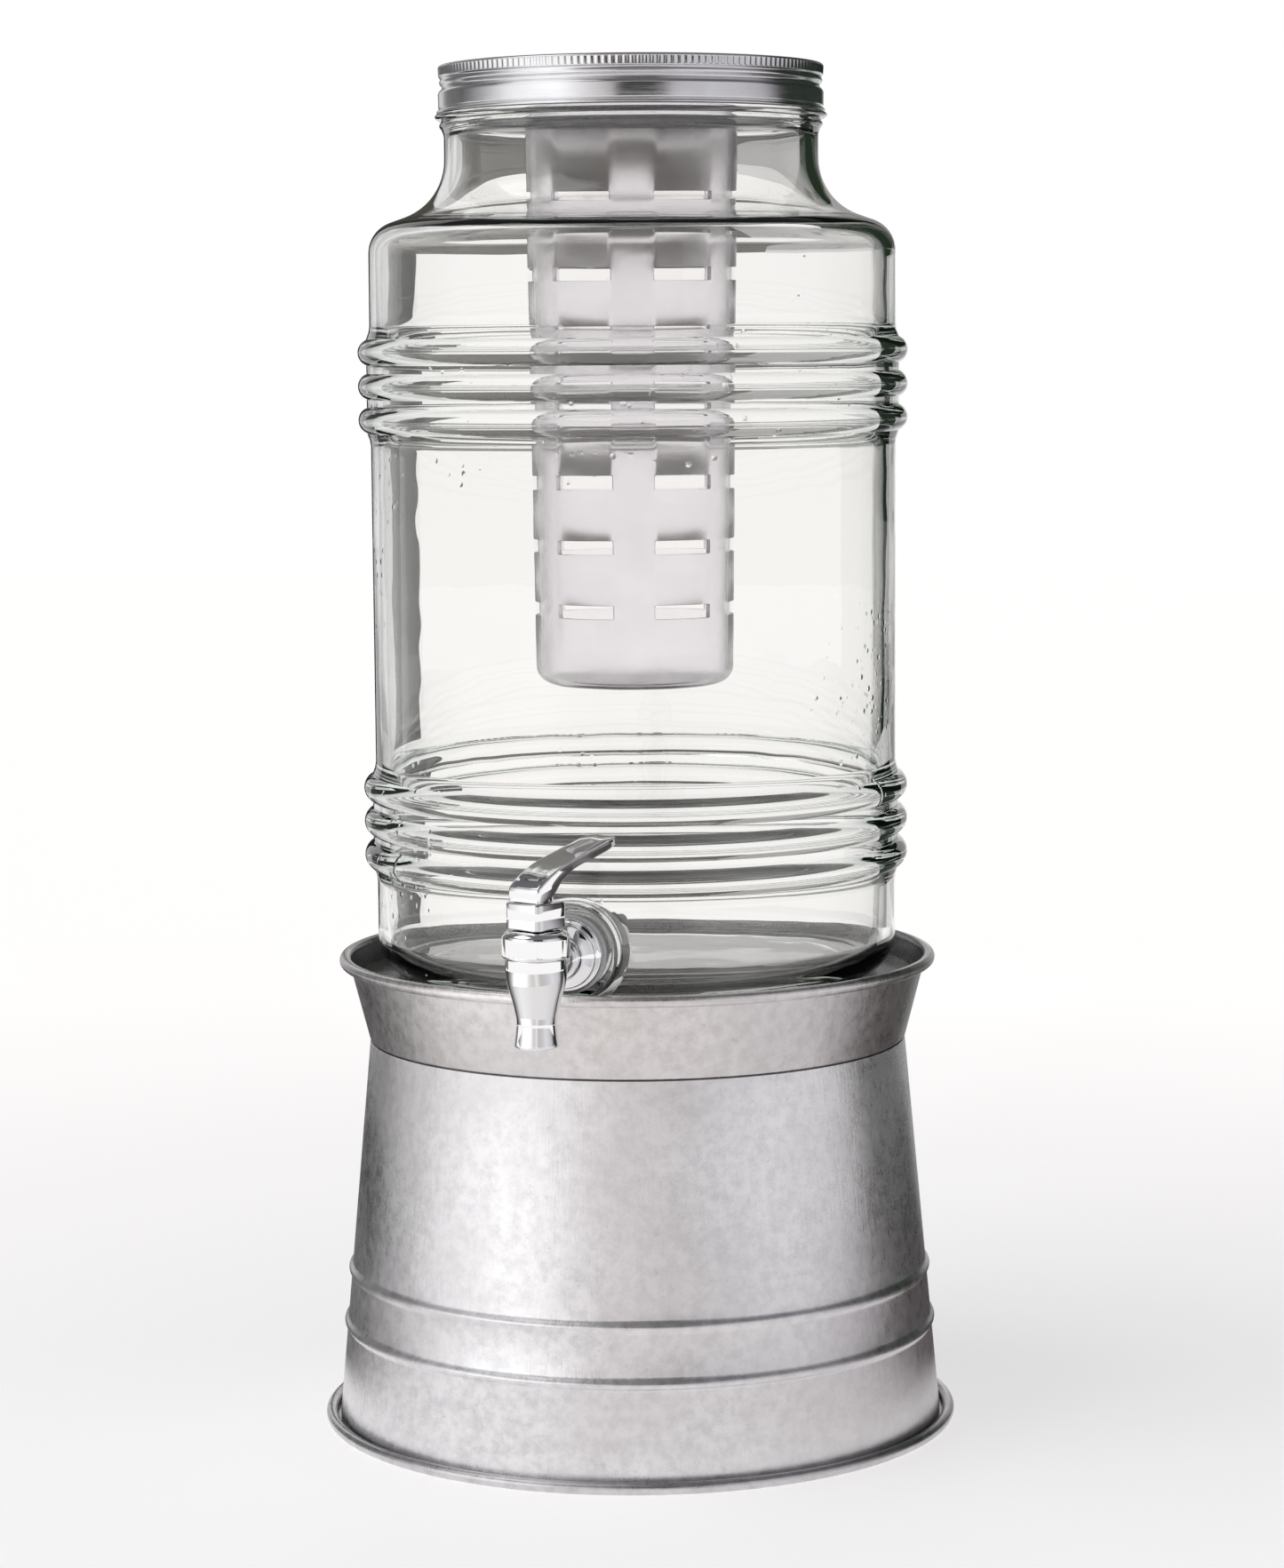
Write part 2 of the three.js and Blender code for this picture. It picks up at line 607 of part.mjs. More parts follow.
function spigotBody() {
  const taper = arc(
    BODY_RADIUS - BODY_TAPER_RADIUS, BODY_SHOULDER - 6, BODY_TAPER_RADIUS, 0, -28, 3,
  );
  const body = turned([
    [0, SPOUT_END],
    [SPOUT_RADIUS, SPOUT_END],
    [SPOUT_RADIUS - 0.2, SPOUT_END + 2],
    [BODY_WAIST_RADIUS, BODY_WAIST],
    ...taper.reverse(),
    [BODY_RADIUS, BODY_SHOULDER],
    [BODY_NECK_RADIUS, BODY_SHOULDER],
    [BODY_NECK_RADIUS, BODY_NECK_TOP],
    [0, BODY_NECK_TOP],
  ], SMALL_FLATS);
  const flange = levelTurned([
    [0, backwards(STEP_FACE) - 5],
    [ARM_RADII[1], backwards(STEP_FACE) - 5],
    [STEP_RADIUS - 1.5, backwards(STEP_FACE + STEP_THICKNESS)],
    [STEP_RADIUS, backwards(STEP_FACE + STEP_THICKNESS) + 0.8],
    [STEP_RADIUS, backwards(STEP_FACE)],
    [FLANGE_RADIUS, backwards(STEP_FACE) + 0.4],
    [FLANGE_RADIUS, backwards(FLANGE_FACE)],
    [SHANK_RADIUS, backwards(FLANGE_FACE)],
    [SHANK_RADIUS, backwards(SHANK_TIP)],
    [0, backwards(SHANK_TIP)],
  ]);
  const armLength = backwards(STEP_FACE);
  const arm = new THREE.CylinderGeometry(ARM_RADII[1], ARM_RADII[0], armLength, SMALL_FLATS)
    .translate(0, armLength / 2, 0)
    .rotateX(Math.atan2(ARM_DROP, armLength))
    .translate(0, 0, -ARM_DROP);
  const chamber = rod(CHAMBER_RADIUS, SEAT, BODY_NECK_TOP + 1);
  const outlet = rod(SPOUT_BORE, SPOUT_END - 1, SEAT + 1);
  const inlet = levelTurned([
    [0, 0],
    [WATER_WAY, 0],
    [WATER_WAY, backwards(SHANK_TIP) + 1],
    [0, backwards(SHANK_TIP) + 1],
  ]).translate(0, 0, -WATER_WAY_DROP);
  return built(body, [flange, arm], [chamber, outlet, inlet]);
}

function flatWasher(outer, near, far) {
  return levelTurned([
    [SHANK_HOLE, backwards(near)],
    [outer, backwards(near)],
    [outer, backwards(far)],
    [SHANK_HOLE, backwards(far)],
  ]);
}

function shankNut() {
  const corners = (SHANK_HOLE + NUT_WALL) / Math.cos(Math.PI / 6);
  const nut = levelTurned([
    [0, backwards(NUT_FACE)],
    [corners, backwards(NUT_FACE)],
    [corners, backwards(NUT_FACE - NUT_THICKNESS)],
    [0, backwards(NUT_FACE - NUT_THICKNESS)],
  ], 6);
  const bore = levelTurned([
    [0, backwards(NUT_FACE) - 2],
    [SHANK_HOLE, backwards(NUT_FACE) - 2],
    [SHANK_HOLE, backwards(NUT_FACE - NUT_THICKNESS) + 2],
    [0, backwards(NUT_FACE - NUT_THICKNESS) + 2],
  ]);
  return built(nut, [], [bore]);
}

function bonnet() {
  const foot = BODY_SHOULDER + GAP;
  const shell = turned([
    [BODY_NECK_RADIUS + GAP, foot],
    [BONNET_RADIUS - 0.4, foot],
    [BONNET_RADIUS, foot + 0.5],
    [BONNET_RADIUS, BONNET_TOP - 2.4],
    [BONNET_RADIUS - 0.8, BONNET_TOP - 1],
    [BONNET_RADIUS - 2.4, BONNET_TOP],
    [STEM_RADIUS + GAP, BONNET_TOP],
    [STEM_RADIUS + GAP, SPRING_CEILING],
    [SPRING_POCKET_RADIUS, SPRING_CEILING],
    [SPRING_POCKET_RADIUS, BONNET_STEP],
    [BODY_NECK_RADIUS + GAP, BONNET_STEP],
  ], 24);
  const grooves = Array.from({ length: BONNET_GROOVES }, (_, i) =>
    block([BONNET_RADIUS - 0.45, -1.1, foot + 0.9], [BONNET_RADIUS + 2, 1.1, BONNET_TOP - 2.9])
      .rotateZ((2 * Math.PI * (i + 0.5)) / BONNET_GROOVES));
  return built(shell, [], grooves);
}

function bonnetSeal() {
  return ring(SPRING_POCKET_RADIUS + 0.4, BODY_NECK_RADIUS - 0.1, BODY_NECK_TOP + GAP,
    SEAL_TOP, SMALL_FLATS);
}

function seatCup() {
  const socket = CUP_BASE + CUP_FLOOR;
  return turned([
    [0, CUP_BASE],
    [CUP_RADIUS - 0.8, CUP_BASE],
    [CUP_RADIUS, CUP_BASE + 0.8],
    [CUP_RADIUS, CUP_BASE + CUP_HEIGHT],
    [STEM_RADIUS + GAP, CUP_BASE + CUP_HEIGHT],
    [STEM_RADIUS + GAP, socket],
    [0, socket],
  ], SMALL_FLATS);
}

// The valve's stem: its foot sits in the cup, a collar carries the spring, and an eye takes the pin.
function valveStem() {
  const eyeTop = PIN_HEIGHT + EYE_OVER_PIN;
  const foot = CUP_BASE + CUP_FLOOR + GAP;
  const shaft = turned([
    [0, foot],
    [STEM_RADIUS, foot],
    [STEM_RADIUS, STEM_COLLAR_BASE],
    [STEM_COLLAR_RADIUS, STEM_COLLAR_BASE],
    [STEM_COLLAR_RADIUS, STEM_COLLAR_TOP],
    [STEM_RADIUS, STEM_COLLAR_TOP],
    [STEM_RADIUS, eyeTop],
    [0, eyeTop],
  ], SMALL_FLATS);
  return built(shaft, [], [acrossRod(PIN_RADIUS + GAP, 2 * STEM_RADIUS)]);
}

function valveSpring() {
  const low = STEM_COLLAR_TOP + GAP + SPRING_WIRE;
  const high = SPRING_CEILING - GAP - SPRING_WIRE;
  const steps = SPRING_TURNS * 8;
  const points = Array.from({ length: steps + 1 }, (_, i) => {
    const angle = (2 * Math.PI * SPRING_TURNS * i) / steps;
    return new THREE.Vector3(
      SPRING_RADIUS * Math.cos(angle),
      SPRING_RADIUS * Math.sin(angle),
      low + ((high - low) * i) / steps,
    );
  });
  const section = new THREE.Shape(
    arc(0, 0, SPRING_WIRE, 0, 288, 4).map(([x, y]) => new THREE.Vector2(x, y)),
  );
  return new THREE.ExtrudeGeometry(section, {
    steps,
    bevelEnabled: false,
    extrudePath: new THREE.CatmullRomCurve3(points),
  });
}

// ---------------------------------------------------------------- lever
// Shapes below stand on the stem's axis, with +Y running out along the lever.

function acrossRod(radius, width, height = PIN_HEIGHT) {
  return rod(radius, -width / 2, width / 2, 12).rotateY(Math.PI / 2).translate(0, 0, height);
}

function handleHub() {
  const half = HUB_WIDTH / 2;
  const outer = raised(
    roundedRectangle(-half, half, -half, half, HUB_CORNER), HUB_BASE, HUB_TOP,
  );
  const slot = block(
    [-CHEEK_GAP, HUB_FRONT_WALL - half, HUB_BASE + HUB_FLOOR],
    [CHEEK_GAP, half + 1, HUB_TOP + 1],
  );
  const stemHole = rod(STEM_RADIUS + GAP, HUB_BASE - 1, HUB_BASE + HUB_FLOOR + 1);
  return built(outer, [], [slot, stemHole]);
}

function handlePin() {
  return acrossRod(PIN_RADIUS, FOOT_WIDTH);
}

// The side of the lever over its base: a blunt front, sweeping up and back to the thumb end.
function leverSide() {
  const front = -LEVER_FRONT;
  const side = new THREE.Shape();
  side.moveTo(front, 0);
  side.lineTo(-0.5, 0);
  side.bezierCurveTo(4, 1.7, 6, 9, LEVER_REACH - 21, 10.8);
  side.quadraticCurveTo(LEVER_REACH - 11, 12.8, LEVER_REACH - 1.2, 15.4);
  side.quadraticCurveTo(LEVER_REACH + 1, 17.6, LEVER_REACH - 2, 19.2);
  side.quadraticCurveTo(LEVER_REACH - 18, 16.6, 4, 11.6);
  side.quadraticCurveTo(front + 0.4, 8.6, front, 3.2);
  return side.getPoints(5).map((point) => [point.x, point.y + LEVER_BASE]);
}

function spigotHandle() {
  const half = LEVER_WIDTH / 2;
  // Pushed along the lever's width, so the outline's x runs out along +Y and its y up.
  const arm = raised(leverSide(), -half, half)
    .rotateX(Math.PI / 2)
    .rotateZ(Math.PI / 2);
  const plan = raised([
    [half, -LEVER_FRONT - 2],
    ...arc(half - LEVER_TIP_CORNER, LEVER_REACH - LEVER_TIP_CORNER, LEVER_TIP_CORNER, 0, 90, 4),
    ...arc(LEVER_TIP_CORNER - half, LEVER_REACH - LEVER_TIP_CORNER, LEVER_TIP_CORNER, 90, 180, 4),
    [-half, -LEVER_FRONT - 2],
  ], HUB_BASE, HUB_BASE + 60);
  const upper = geometryOf(solidOf(arm).intersect(solidOf(plan)));
  const foot = block(
    [-FOOT_WIDTH / 2, -4.9, PIN_HEIGHT - 1.3],
    [FOOT_WIDTH / 2, 3.2, LEVER_BASE + 0.9],
  );
  const stemWay = block(
    [-STEM_RADIUS - GAP, -LEVER_FRONT, PIN_HEIGHT - 4],
    [STEM_RADIUS + GAP, LEVER_FRONT, PIN_HEIGHT + 3.4],
  );
  const pinHole = acrossRod(PIN_RADIUS + GAP, 2 * LEVER_WIDTH);
  return built(upper, [foot], [stemWay, pinHole]);
}

// ---------------------------------------------------------------- assembly

function place(group, name, geometry, material) {
  const mesh = new THREE.Mesh(geometry, material);
  mesh.name = name;
  group.add(mesh);
  return mesh;
}

function stand() {
  const group = new THREE.Group();
  place(group, "base_tray", baseTray(), galvanised());
  place(group, "tray_rim_wire", rimWire(TRAY_WIRE_RADIUS, RIM_HEM), steelWire());
  place(group, "stand_cone", standCone(), galvanised());
  place(group, "stand_collar", standCollar(), galvanised());
  place(group, "collar_rim_wire", rimWire(COLLAR_WIRE_RADIUS, COLLAR_RIM_HEIGHT), steelWire());
  place(group, "stand_floor", standFloor(), galvanised());
  return group;
}

function lid() {
  const group = new THREE.Group();
  place(group, "lid_gasket", lidGasket(), silicone());
  place(group, "lid_shell", lidShell(), tinned());
  place(group, "infuser_holder", infuserHolder(), whitePlastic());
  const infuser = place(group, "infuser_tube", infuserTube(), clearPlastic());
  infuser.rotation.z = THREE.MathUtils.degToRad(INFUSER_TURN_DEG);
  return group;
}

function lever() {
  const group = new THREE.Group();
  place(group, "handle_hub", handleHub(), chrome());
  place(group, "handle_pin", handlePin(), chrome());
  place(group, "spigot_handle", spigotHandle(), chrome());
  place(group, "valve_stem", valveStem(), whitePlastic());
  place(group, "seat_cup", seatCup(), silicone());
  group.rotation.z = THREE.MathUtils.degToRad(LEVER_TURN_DEG);
  return group;
}

function spigot() {
  const group = new THREE.Group();
  place(group, "spigot_body", spigotBody(), chrome());
  place(group, "outer_washer", flatWasher(FLANGE_RADIUS + 1, BOSS_FACE + GAP, WASHER_FACE),
    silicone());
  place(group, "inner_washer", flatWasher(PAD_RADIUS - 2, PAD_FACE - GAP, NUT_FACE + GAP),
    silicone());
  place(group, "shank_nut", shankNut(), whitePlastic());
  place(group, "bonnet", bonnet(), chrome());
  place(group, "bonnet_seal", bonnetSeal(), silicone());
  place(group, "valve_spring", valveSpring(), steelWire());
  group.add(lever());
  group.position.set(0, -SPOUT_REACH, SPIGOT_HEIGHT);
  return group;
}

function jar() {
  const group = new THREE.Group();
  place(group, "glass_jar", jarGlass(), glass());
  group.add(spigot(), lid());
  return group;
}

const dispenser = new THREE.Group();
dispenser.add(stand(), jar());

export default dispenser;
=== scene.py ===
"""A glass drinks dispenser with a fruit infuser and a chrome tap, on a galvanised stand.

Lengths below are in millimetres until a mesh is made. The jar's axis is the upright axis.
"""

import math

import bmesh
import bpy
from mathutils import Matrix, Vector


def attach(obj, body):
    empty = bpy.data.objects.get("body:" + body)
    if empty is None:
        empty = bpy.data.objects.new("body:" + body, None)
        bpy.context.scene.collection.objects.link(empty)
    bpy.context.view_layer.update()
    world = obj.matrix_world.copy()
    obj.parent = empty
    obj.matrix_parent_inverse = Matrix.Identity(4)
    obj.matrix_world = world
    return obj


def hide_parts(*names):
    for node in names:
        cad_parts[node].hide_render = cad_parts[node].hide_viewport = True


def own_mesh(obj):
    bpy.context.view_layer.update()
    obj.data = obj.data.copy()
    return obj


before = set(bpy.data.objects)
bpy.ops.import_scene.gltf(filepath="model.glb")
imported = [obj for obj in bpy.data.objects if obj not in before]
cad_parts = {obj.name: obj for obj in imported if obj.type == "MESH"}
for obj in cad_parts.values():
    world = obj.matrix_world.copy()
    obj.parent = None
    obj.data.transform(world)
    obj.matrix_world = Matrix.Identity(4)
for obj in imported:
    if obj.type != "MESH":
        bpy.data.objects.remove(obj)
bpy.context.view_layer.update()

MM = 0.001
AROUND = 192  # faces round the large pieces
LID_TEETH = 180
TAP_AROUND = 96
SHEET = 0.9
HEM = 2.2  # radius of a rolled rim
RIM_WIRE = 1.0  # radius of the wire in a rolled rim

# Jar
JAR_RADIUS = 98.4
FOOT_RADIUS = 97.4
JAR_WALL = 4.5
JAR_BASE = 168
MOUTH = 502.5
NECK_RADIUS = 69.8
NECK_FOOT = 473.3
NECK_FILLET = 22.7
SHOULDER_CORNER = 12
SHOULDER_SLOPE = 19.6  # degrees
RIB_PITCH = 12.6
RIB_MIDDLES = (389.3, 226.6)
BOSS_FACE = 103.2
PAD_FACE = 90.5

# Tap, measured from the spout's axis and the height of its shank
SPOUT_REACH = 148
SHANK_HEIGHT = 190
FLANGE_BACK = 41.7
SHANK_RADIUS = 7.9
SHANK_TIP = 68.7
SHANK_HOLE = 8.2
LEVER_TURN = -26.5  # degrees from straight ahead
INFUSER_TURN = 13.5  # degrees

# Stand
WAIST_RADIUS = 100.8
WAIST_HEIGHT = 144
CONE_FOOT_RADIUS = 113.7
BEAD_HEIGHTS = (37.5, 57.5)
COLLAR_SLOPE = 0.262
RIM_HEIGHT = 174
TRAY_RIM = (116.8, 2.2)
COLLAR_RIM = (109.96, 174)


# ---------------------------------------------------------------- outlines


def arc(r, z, radius, start, end, steps=8):
    angles = [math.radians(start + (end - start) * i / steps) for i in range(steps + 1)]
    return [(r + radius * math.cos(a), z + radius * math.sin(a)) for a in angles]


def softened(corners, closed=False, steps=5):
    """The outline with its corners rounded: (r, z, cut) takes cut off both sides of that corner."""
    points = []
    for i, (r, z, *cut) in enumerate(corners):
        corner = Vector((r, z))
        if not cut or (not closed and i in (0, len(corners) - 1)):
            points.append((r, z))
            continue
        start, end = (
            corner + (Vector(corners[j % len(corners)][:2]) - corner).normalized() * cut[0]
            for j in (i - 1, i + 1)
        )
        for step in range(steps + 1):
            t = step / steps
            points.append(tuple(start.lerp(corner, t).lerp(corner.lerp(end, t), t)))
    return points


def sheet(line, thickness):
    """A closed outline of sheet metal that has the line as one face, the other on its right."""
    points = [Vector(p) for p in line]
    back = []
    for i, point in enumerate(points):
        along = (points[min(i + 1, len(points) - 1)] - points[max(i - 1, 0)]).normalized()
        back.append(tuple(point + thickness * Vector((along.y, -along.x))))
    return list(line) + back[::-1]


def circle(r, z, radius, steps=16):
    return arc(r, z, radius, 0, 360, steps)[:-1]


# ---------------------------------------------------------------- meshes


def turned(outline, around=AROUND):
    """The outline turned about the upright axis. Its ends lie on the axis, or it closes on itself."""
    mesh = bmesh.new()
    verts = [mesh.verts.new((r * MM, 0, z * MM)) for r, z in outline]
    edges = [mesh.edges.new(pair) for pair in zip(verts, verts[1:])]
    if max(outline[0][0], outline[-1][0]) > 0:
        edges.append(mesh.edges.new((verts[-1], verts[0])))
    bmesh.ops.spin(
        mesh, geom=verts + edges, cent=(0, 0, 0), axis=(0, 0, 1), dvec=(0, 0, 0),
        angle=2 * math.pi, steps=around, use_merge=True, use_duplicate=False,
    )
    bmesh.ops.remove_doubles(mesh, verts=mesh.verts, dist=1e-7)
    bmesh.ops.recalc_face_normals(mesh, faces=mesh.faces)
    return mesh


def moved(mesh, *steps):
    """The mesh with each matrix applied in turn."""
    for matrix in steps:
        bmesh.ops.transform(mesh, matrix=matrix, verts=mesh.verts)
    return mesh


def shift(x, y, z):
    return Matrix.Translation((x * MM, y * MM, z * MM))


def turn(degrees, axis):
    return Matrix.Rotation(math.radians(degrees), 4, axis)


LAID_BACK = turn(-90, "X")  # an upright turned piece laid along +Y
LAID_FORWARD = turn(90, "X")
ACROSS = turn(90, "Y")
TO_SPOUT = shift(0, -SPOUT_REACH, SHANK_HEIGHT)
TO_LEVER = shift(0, -SPOUT_REACH, 0) @ turn(LEVER_TURN, "Z")


def block(low, high, bevel=0.0, segments=3):
    mesh = bmesh.new()
    size = [(b - a) * MM for a, b in zip(low, high)]
    centre = [(a + b) / 2 * MM for a, b in zip(low, high)]
    bmesh.ops.create_cube(mesh, size=1)
    bmesh.ops.scale(mesh, vec=size, verts=mesh.verts)
    bmesh.ops.translate(mesh, vec=centre, verts=mesh.verts)
    if bevel:
        rounded_edges(mesh, mesh.edges, bevel, segments)
    return mesh


def rounded_edges(mesh, edges, width, segments=3):
    bmesh.ops.bevel(
        mesh, geom=list(edges), offset=width * MM, offset_type="OFFSET", segments=segments,
        profile=0.5, affect="EDGES", material=-1,
    )


def as_object(mesh, name="work"):
    data = bpy.data.meshes.new(name)
    mesh.to_mesh(data)
    mesh.free()
    made = bpy.data.objects.new(name, data)
    bpy.context.scene.collection.objects.link(made)
    return made


def settled(work, *helpers):
    """The mesh of a working object with its modifiers applied; the objects go."""
    bpy.context.view_layer.update()
    shaped = work.evaluated_get(bpy.context.evaluated_depsgraph_get())
    mesh = bmesh.new()
    mesh.from_mesh(shaped.to_mesh())
    shaped.to_mesh_clear()
    for used in [work, *helpers]:
        data = used.data
        bpy.data.objects.remove(used)
        bpy.data.meshes.remove(data)
    return mesh


def combined(base, operation, *tools):
    """The base with each tool joined to it (UNION) or cut out of it (DIFFERENCE)."""
    work = as_object(base)
    helpers = [as_object(tool) for tool in tools]
    for helper in helpers:
        modifier = work.modifiers.new("combine", "BOOLEAN")
        modifier.object = helper
        modifier.operation = operation
        modifier.solver = "EXACT"
    return settled(work, *helpers)


def walled(mesh, thickness, edge):
    """The open skin given a wall on its inner side, with its edges eased."""
    work = as_object(mesh)
    wall = work.modifiers.new("wall", "SOLIDIFY")
    wall.thickness = thickness * MM
    wall.offset = -1
    wall.use_even_offset = True
    eased = work.modifiers.new("edge", "BEVEL")
    eased.width = edge * MM
    eased.segments = 2
    eased.limit_method = "ANGLE"
    eased.angle_limit = math.radians(50)
    return settled(work)


def piece(name, mesh, material, body, nodes, crease=32):
    """A finished piece: smooth, with crisp edges over the crease angle, riding on its body."""
    made = as_object(mesh, name)
    made.data.shade_smooth()
    made.data.set_sharp_from_angle(angle=math.radians(crease))
    made.data.materials.append(material)
    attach(made, body)
    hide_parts(*nodes)
    return made


# ---------------------------------------------------------------- finishes


class Finish:
    """A node material on one Principled shader, with short calls for its pattern nodes."""

    def __init__(self, name, **sockets):
        self.material = bpy.data.materials.new(name)
        self.material.use_nodes = True
        self.tree = self.material.node_tree
        self.shader = self.tree.nodes["Principled BSDF"]
        for socket, value in sockets.items():
            self.shader.inputs[socket.replace("_", " ")].default_value = value
        self.place = self.node("ShaderNodeTexCoord").outputs["Object"]

    def node(self, kind, **settings):
        made = self.tree.nodes.new(kind)
        for setting, value in settings.items():
            setattr(made, setting, value)
        return made

    def link(self, start, end):
        self.tree.links.new(start, end)

    def stretched(self, scale):
        mapping = self.node("ShaderNodeMapping")
        mapping.inputs["Scale"].default_value = scale
        self.link(self.place, mapping.inputs["Vector"])
        return mapping.outputs["Vector"]

    def noise(self, scale, detail=4.0, roughness=0.6, where=None):
        made = self.node("ShaderNodeTexNoise")
        made.inputs["Scale"].default_value = scale
        made.inputs["Detail"].default_value = detail
        made.inputs["Roughness"].default_value = roughness
        self.link(where or self.place, made.inputs["Vector"])
        return made.outputs["Fac"]

    def cells(self, scale, output="Distance"):
        made = self.node("ShaderNodeTexVoronoi")
        made.inputs["Scale"].default_value = scale
        self.link(self.place, made.inputs["Vector"])
        return made.outputs[output]

    def spread(self, value, low, high, to_low, to_high):
        made = self.node("ShaderNodeMapRange")
        for socket, number in zip(
            ("From Min", "From Max", "To Min", "To Max"), (low, high, to_low, to_high)
        ):
            made.inputs[socket].default_value = number
        self.link(value, made.inputs["Value"])
        return made.outputs["Result"]

    def sum(self, a, b, operation="ADD"):
        made = self.node("ShaderNodeMath", operation=operation)
        self.link(a, made.inputs[0])
        if isinstance(b, (int, float)):
            made.inputs[1].default_value = b
        else:
            self.link(b, made.inputs[1])
        return made.outputs["Value"]

    def ramp(self, value, stops):
        made = self.node("ShaderNodeValToRGB")
        elements = made.color_ramp.elements
        while len(elements) < len(stops):
            elements.new(0.5)
        for element, (position, colour) in zip(elements, stops):
            element.position = position
            element.color = (*colour, 1)
        self.link(value, made.inputs["Fac"])
        return made.outputs["Color"]

    def mixed(self, factor, a, b, blend="MIX"):
        made = self.node("ShaderNodeMix", data_type="RGBA", blend_type=blend)
        sockets = made.inputs
        for socket, value in ((sockets[0], factor), (sockets[6], a), (sockets[7], b)):
            if isinstance(value, bpy.types.NodeSocket):
                self.link(value, socket)
            else:
                socket.default_value = value if socket == sockets[0] else (*value, 1)
        return made.outputs[2]

    def bumped(self, height, distance, strength=1.0, under=None):
        made = self.node("ShaderNodeBump")
        made.inputs["Strength"].default_value = strength
        made.inputs["Distance"].default_value = distance
        self.link(height, made.inputs["Height"])
        if under is not None:
            self.link(under, made.inputs["Normal"])
        return made.outputs["Normal"]

    def into(self, socket, value):
        self.link(value, self.shader.inputs[socket])


def galvanised(name, warmth=0.0, brightness=1.0, skin=None):
    """Zinc-coated sheet: cloudy mottling, fine dark pits and faint upright drawing marks.

    skin gives the radius at no height and the slope of a flared wall whose inner face gets painted shade:
    it is mixed to dark grey, standing in for the shade inside it."""
    made = Finish(name, Metallic=1.0)
    clouds = made.noise(14, 3.0, 0.55)
    mottle = made.noise(210, 6.0, 0.66)
    drawn = made.noise(1.0, 3.0, 0.6, made.stretched((1100, 1100, 16)))
    pits = made.noise(760, 3.0, 0.7)
    scuffs = made.noise(62, 9.0, 0.75)
    light = [brightness * c for c in (0.86 + 0.01 * warmth, 0.85, 0.865 - 0.02 * warmth)]
    dark = [brightness * c for c in (0.70 + 0.02 * warmth, 0.69, 0.705 - 0.02 * warmth)]
    grey = made.ramp(mottle, [(0.36, dark), (0.60, light)])
    tinted = made.mixed(
        made.spread(clouds, 0.45, 0.70, 0.0, 0.55), grey,
        [brightness * c for c in (0.69, 0.665, 0.675)],
    )
    scuffed = made.mixed(
        made.spread(scuffs, 0.62, 0.74, 0.0, 0.45), tinted, (0.30, 0.29, 0.30)
    )
    spotted = made.mixed(
        made.spread(pits, 0.68, 0.76, 0.0, 0.6), scuffed, (0.20, 0.195, 0.20)
    )
    # Painted shade: the inner face of the flared wall is darkened to (0.24, 0.24, 0.25) in place of the
    # shade inside it.
    if skin:
        flat = made.node("ShaderNodeVectorMath", operation="MULTIPLY")
        flat.inputs[1].default_value = (1, 1, 0)
        made.link(made.place, flat.inputs[0])
        length = made.node("ShaderNodeVectorMath", operation="LENGTH")
        made.link(flat.outputs["Vector"], length.inputs[0])
        rise = made.node("ShaderNodeSeparateXYZ")
        made.link(made.place, rise.inputs["Vector"])
        flare = made.sum(rise.outputs["Z"], skin[1], "MULTIPLY")
        depth = made.sum(length.outputs["Value"], flare, "SUBTRACT")
        edge = skin[0] * MM
        painted_inside_shade = made.spread(depth, edge - 0.7 * SHEET * MM, edge - 0.4 * SHEET * MM, 1.0, 0.0)
        spotted = made.mixed(painted_inside_shade, spotted, (0.24, 0.24, 0.25))
    made.into("Base Color", spotted)
    rough = made.sum(
        made.spread(clouds, 0.3, 0.7, 0.24, 0.36), made.spread(mottle, 0.3, 0.7, -0.04, 0.06)
    )
    made.into("Roughness", made.sum(rough, made.spread(drawn, 0.3, 0.7, -0.03, 0.04)))
    waves = made.bumped(made.noise(11, 2.0, 0.5), 0.004, 0.35)
    rolled = made.bumped(drawn, 0.00012, 0.5, waves)
    made.into("Normal", made.bumped(mottle, 0.0004, 0.28, rolled))
    return made.material


def clear_glass(name):
    """Moulded glass, faintly green in its depth, with ripples and a few water drops."""
    made = Finish(
        name, Base_Color=(0.985, 0.972, 0.968, 1), Roughness=0.0, IOR=1.5, Transmission_Weight=1.0
    )
    depth = made.node("ShaderNodeVolumeAbsorption")
    depth.inputs["Color"].default_value = (0.72, 0.88, 0.80, 1)
    depth.inputs["Density"].default_value = 13.0
    made.link(depth.outputs["Volume"], made.tree.nodes["Material Output"].inputs["Volume"])
    ripple = made.bumped(made.noise(20, 2.0, 0.5), 0.0014, 0.22)
    beads = made.spread(made.cells(150), 0.0, 0.17, 1.0, 0.0)
    wet = made.spread(made.noise(9, 2.0, 0.5), 0.56, 0.62, 0.0, 1.0)
    made.into("Normal", made.bumped(made.sum(beads, wet, "MULTIPLY"), 0.0007, 0.55, ripple))
    return made.material


def chrome(name):
    made = Finish(name, Metallic=1.0, Base_Color=(0.93, 0.93, 0.94, 1))
    smudge = made.noise(70, 4.0, 0.6)
    made.into("Roughness", made.spread(smudge, 0.35, 0.75, 0.015, 0.06))
    return made.material


def tinned(name):
    """Satin tin plate of the lid."""
    made = Finish(name, Metallic=1.0)
    grain = made.noise(1.0, 3.0, 0.6, made.stretched((60, 60, 1600)))
    haze = made.noise(40, 4.0, 0.6)
    made.into("Base Color", made.ramp(haze, [(0.3, (0.66, 0.65, 0.67)), (0.7, (0.76, 0.755, 0.775))]))
    made.into("Roughness", made.sum(
        made.spread(haze, 0.3, 0.7, 0.16, 0.23), made.spread(grain, 0.3, 0.7, -0.03, 0.05)
    ))
    made.into("Normal", made.bumped(grain, 0.00005, 0.4))
    return made.material


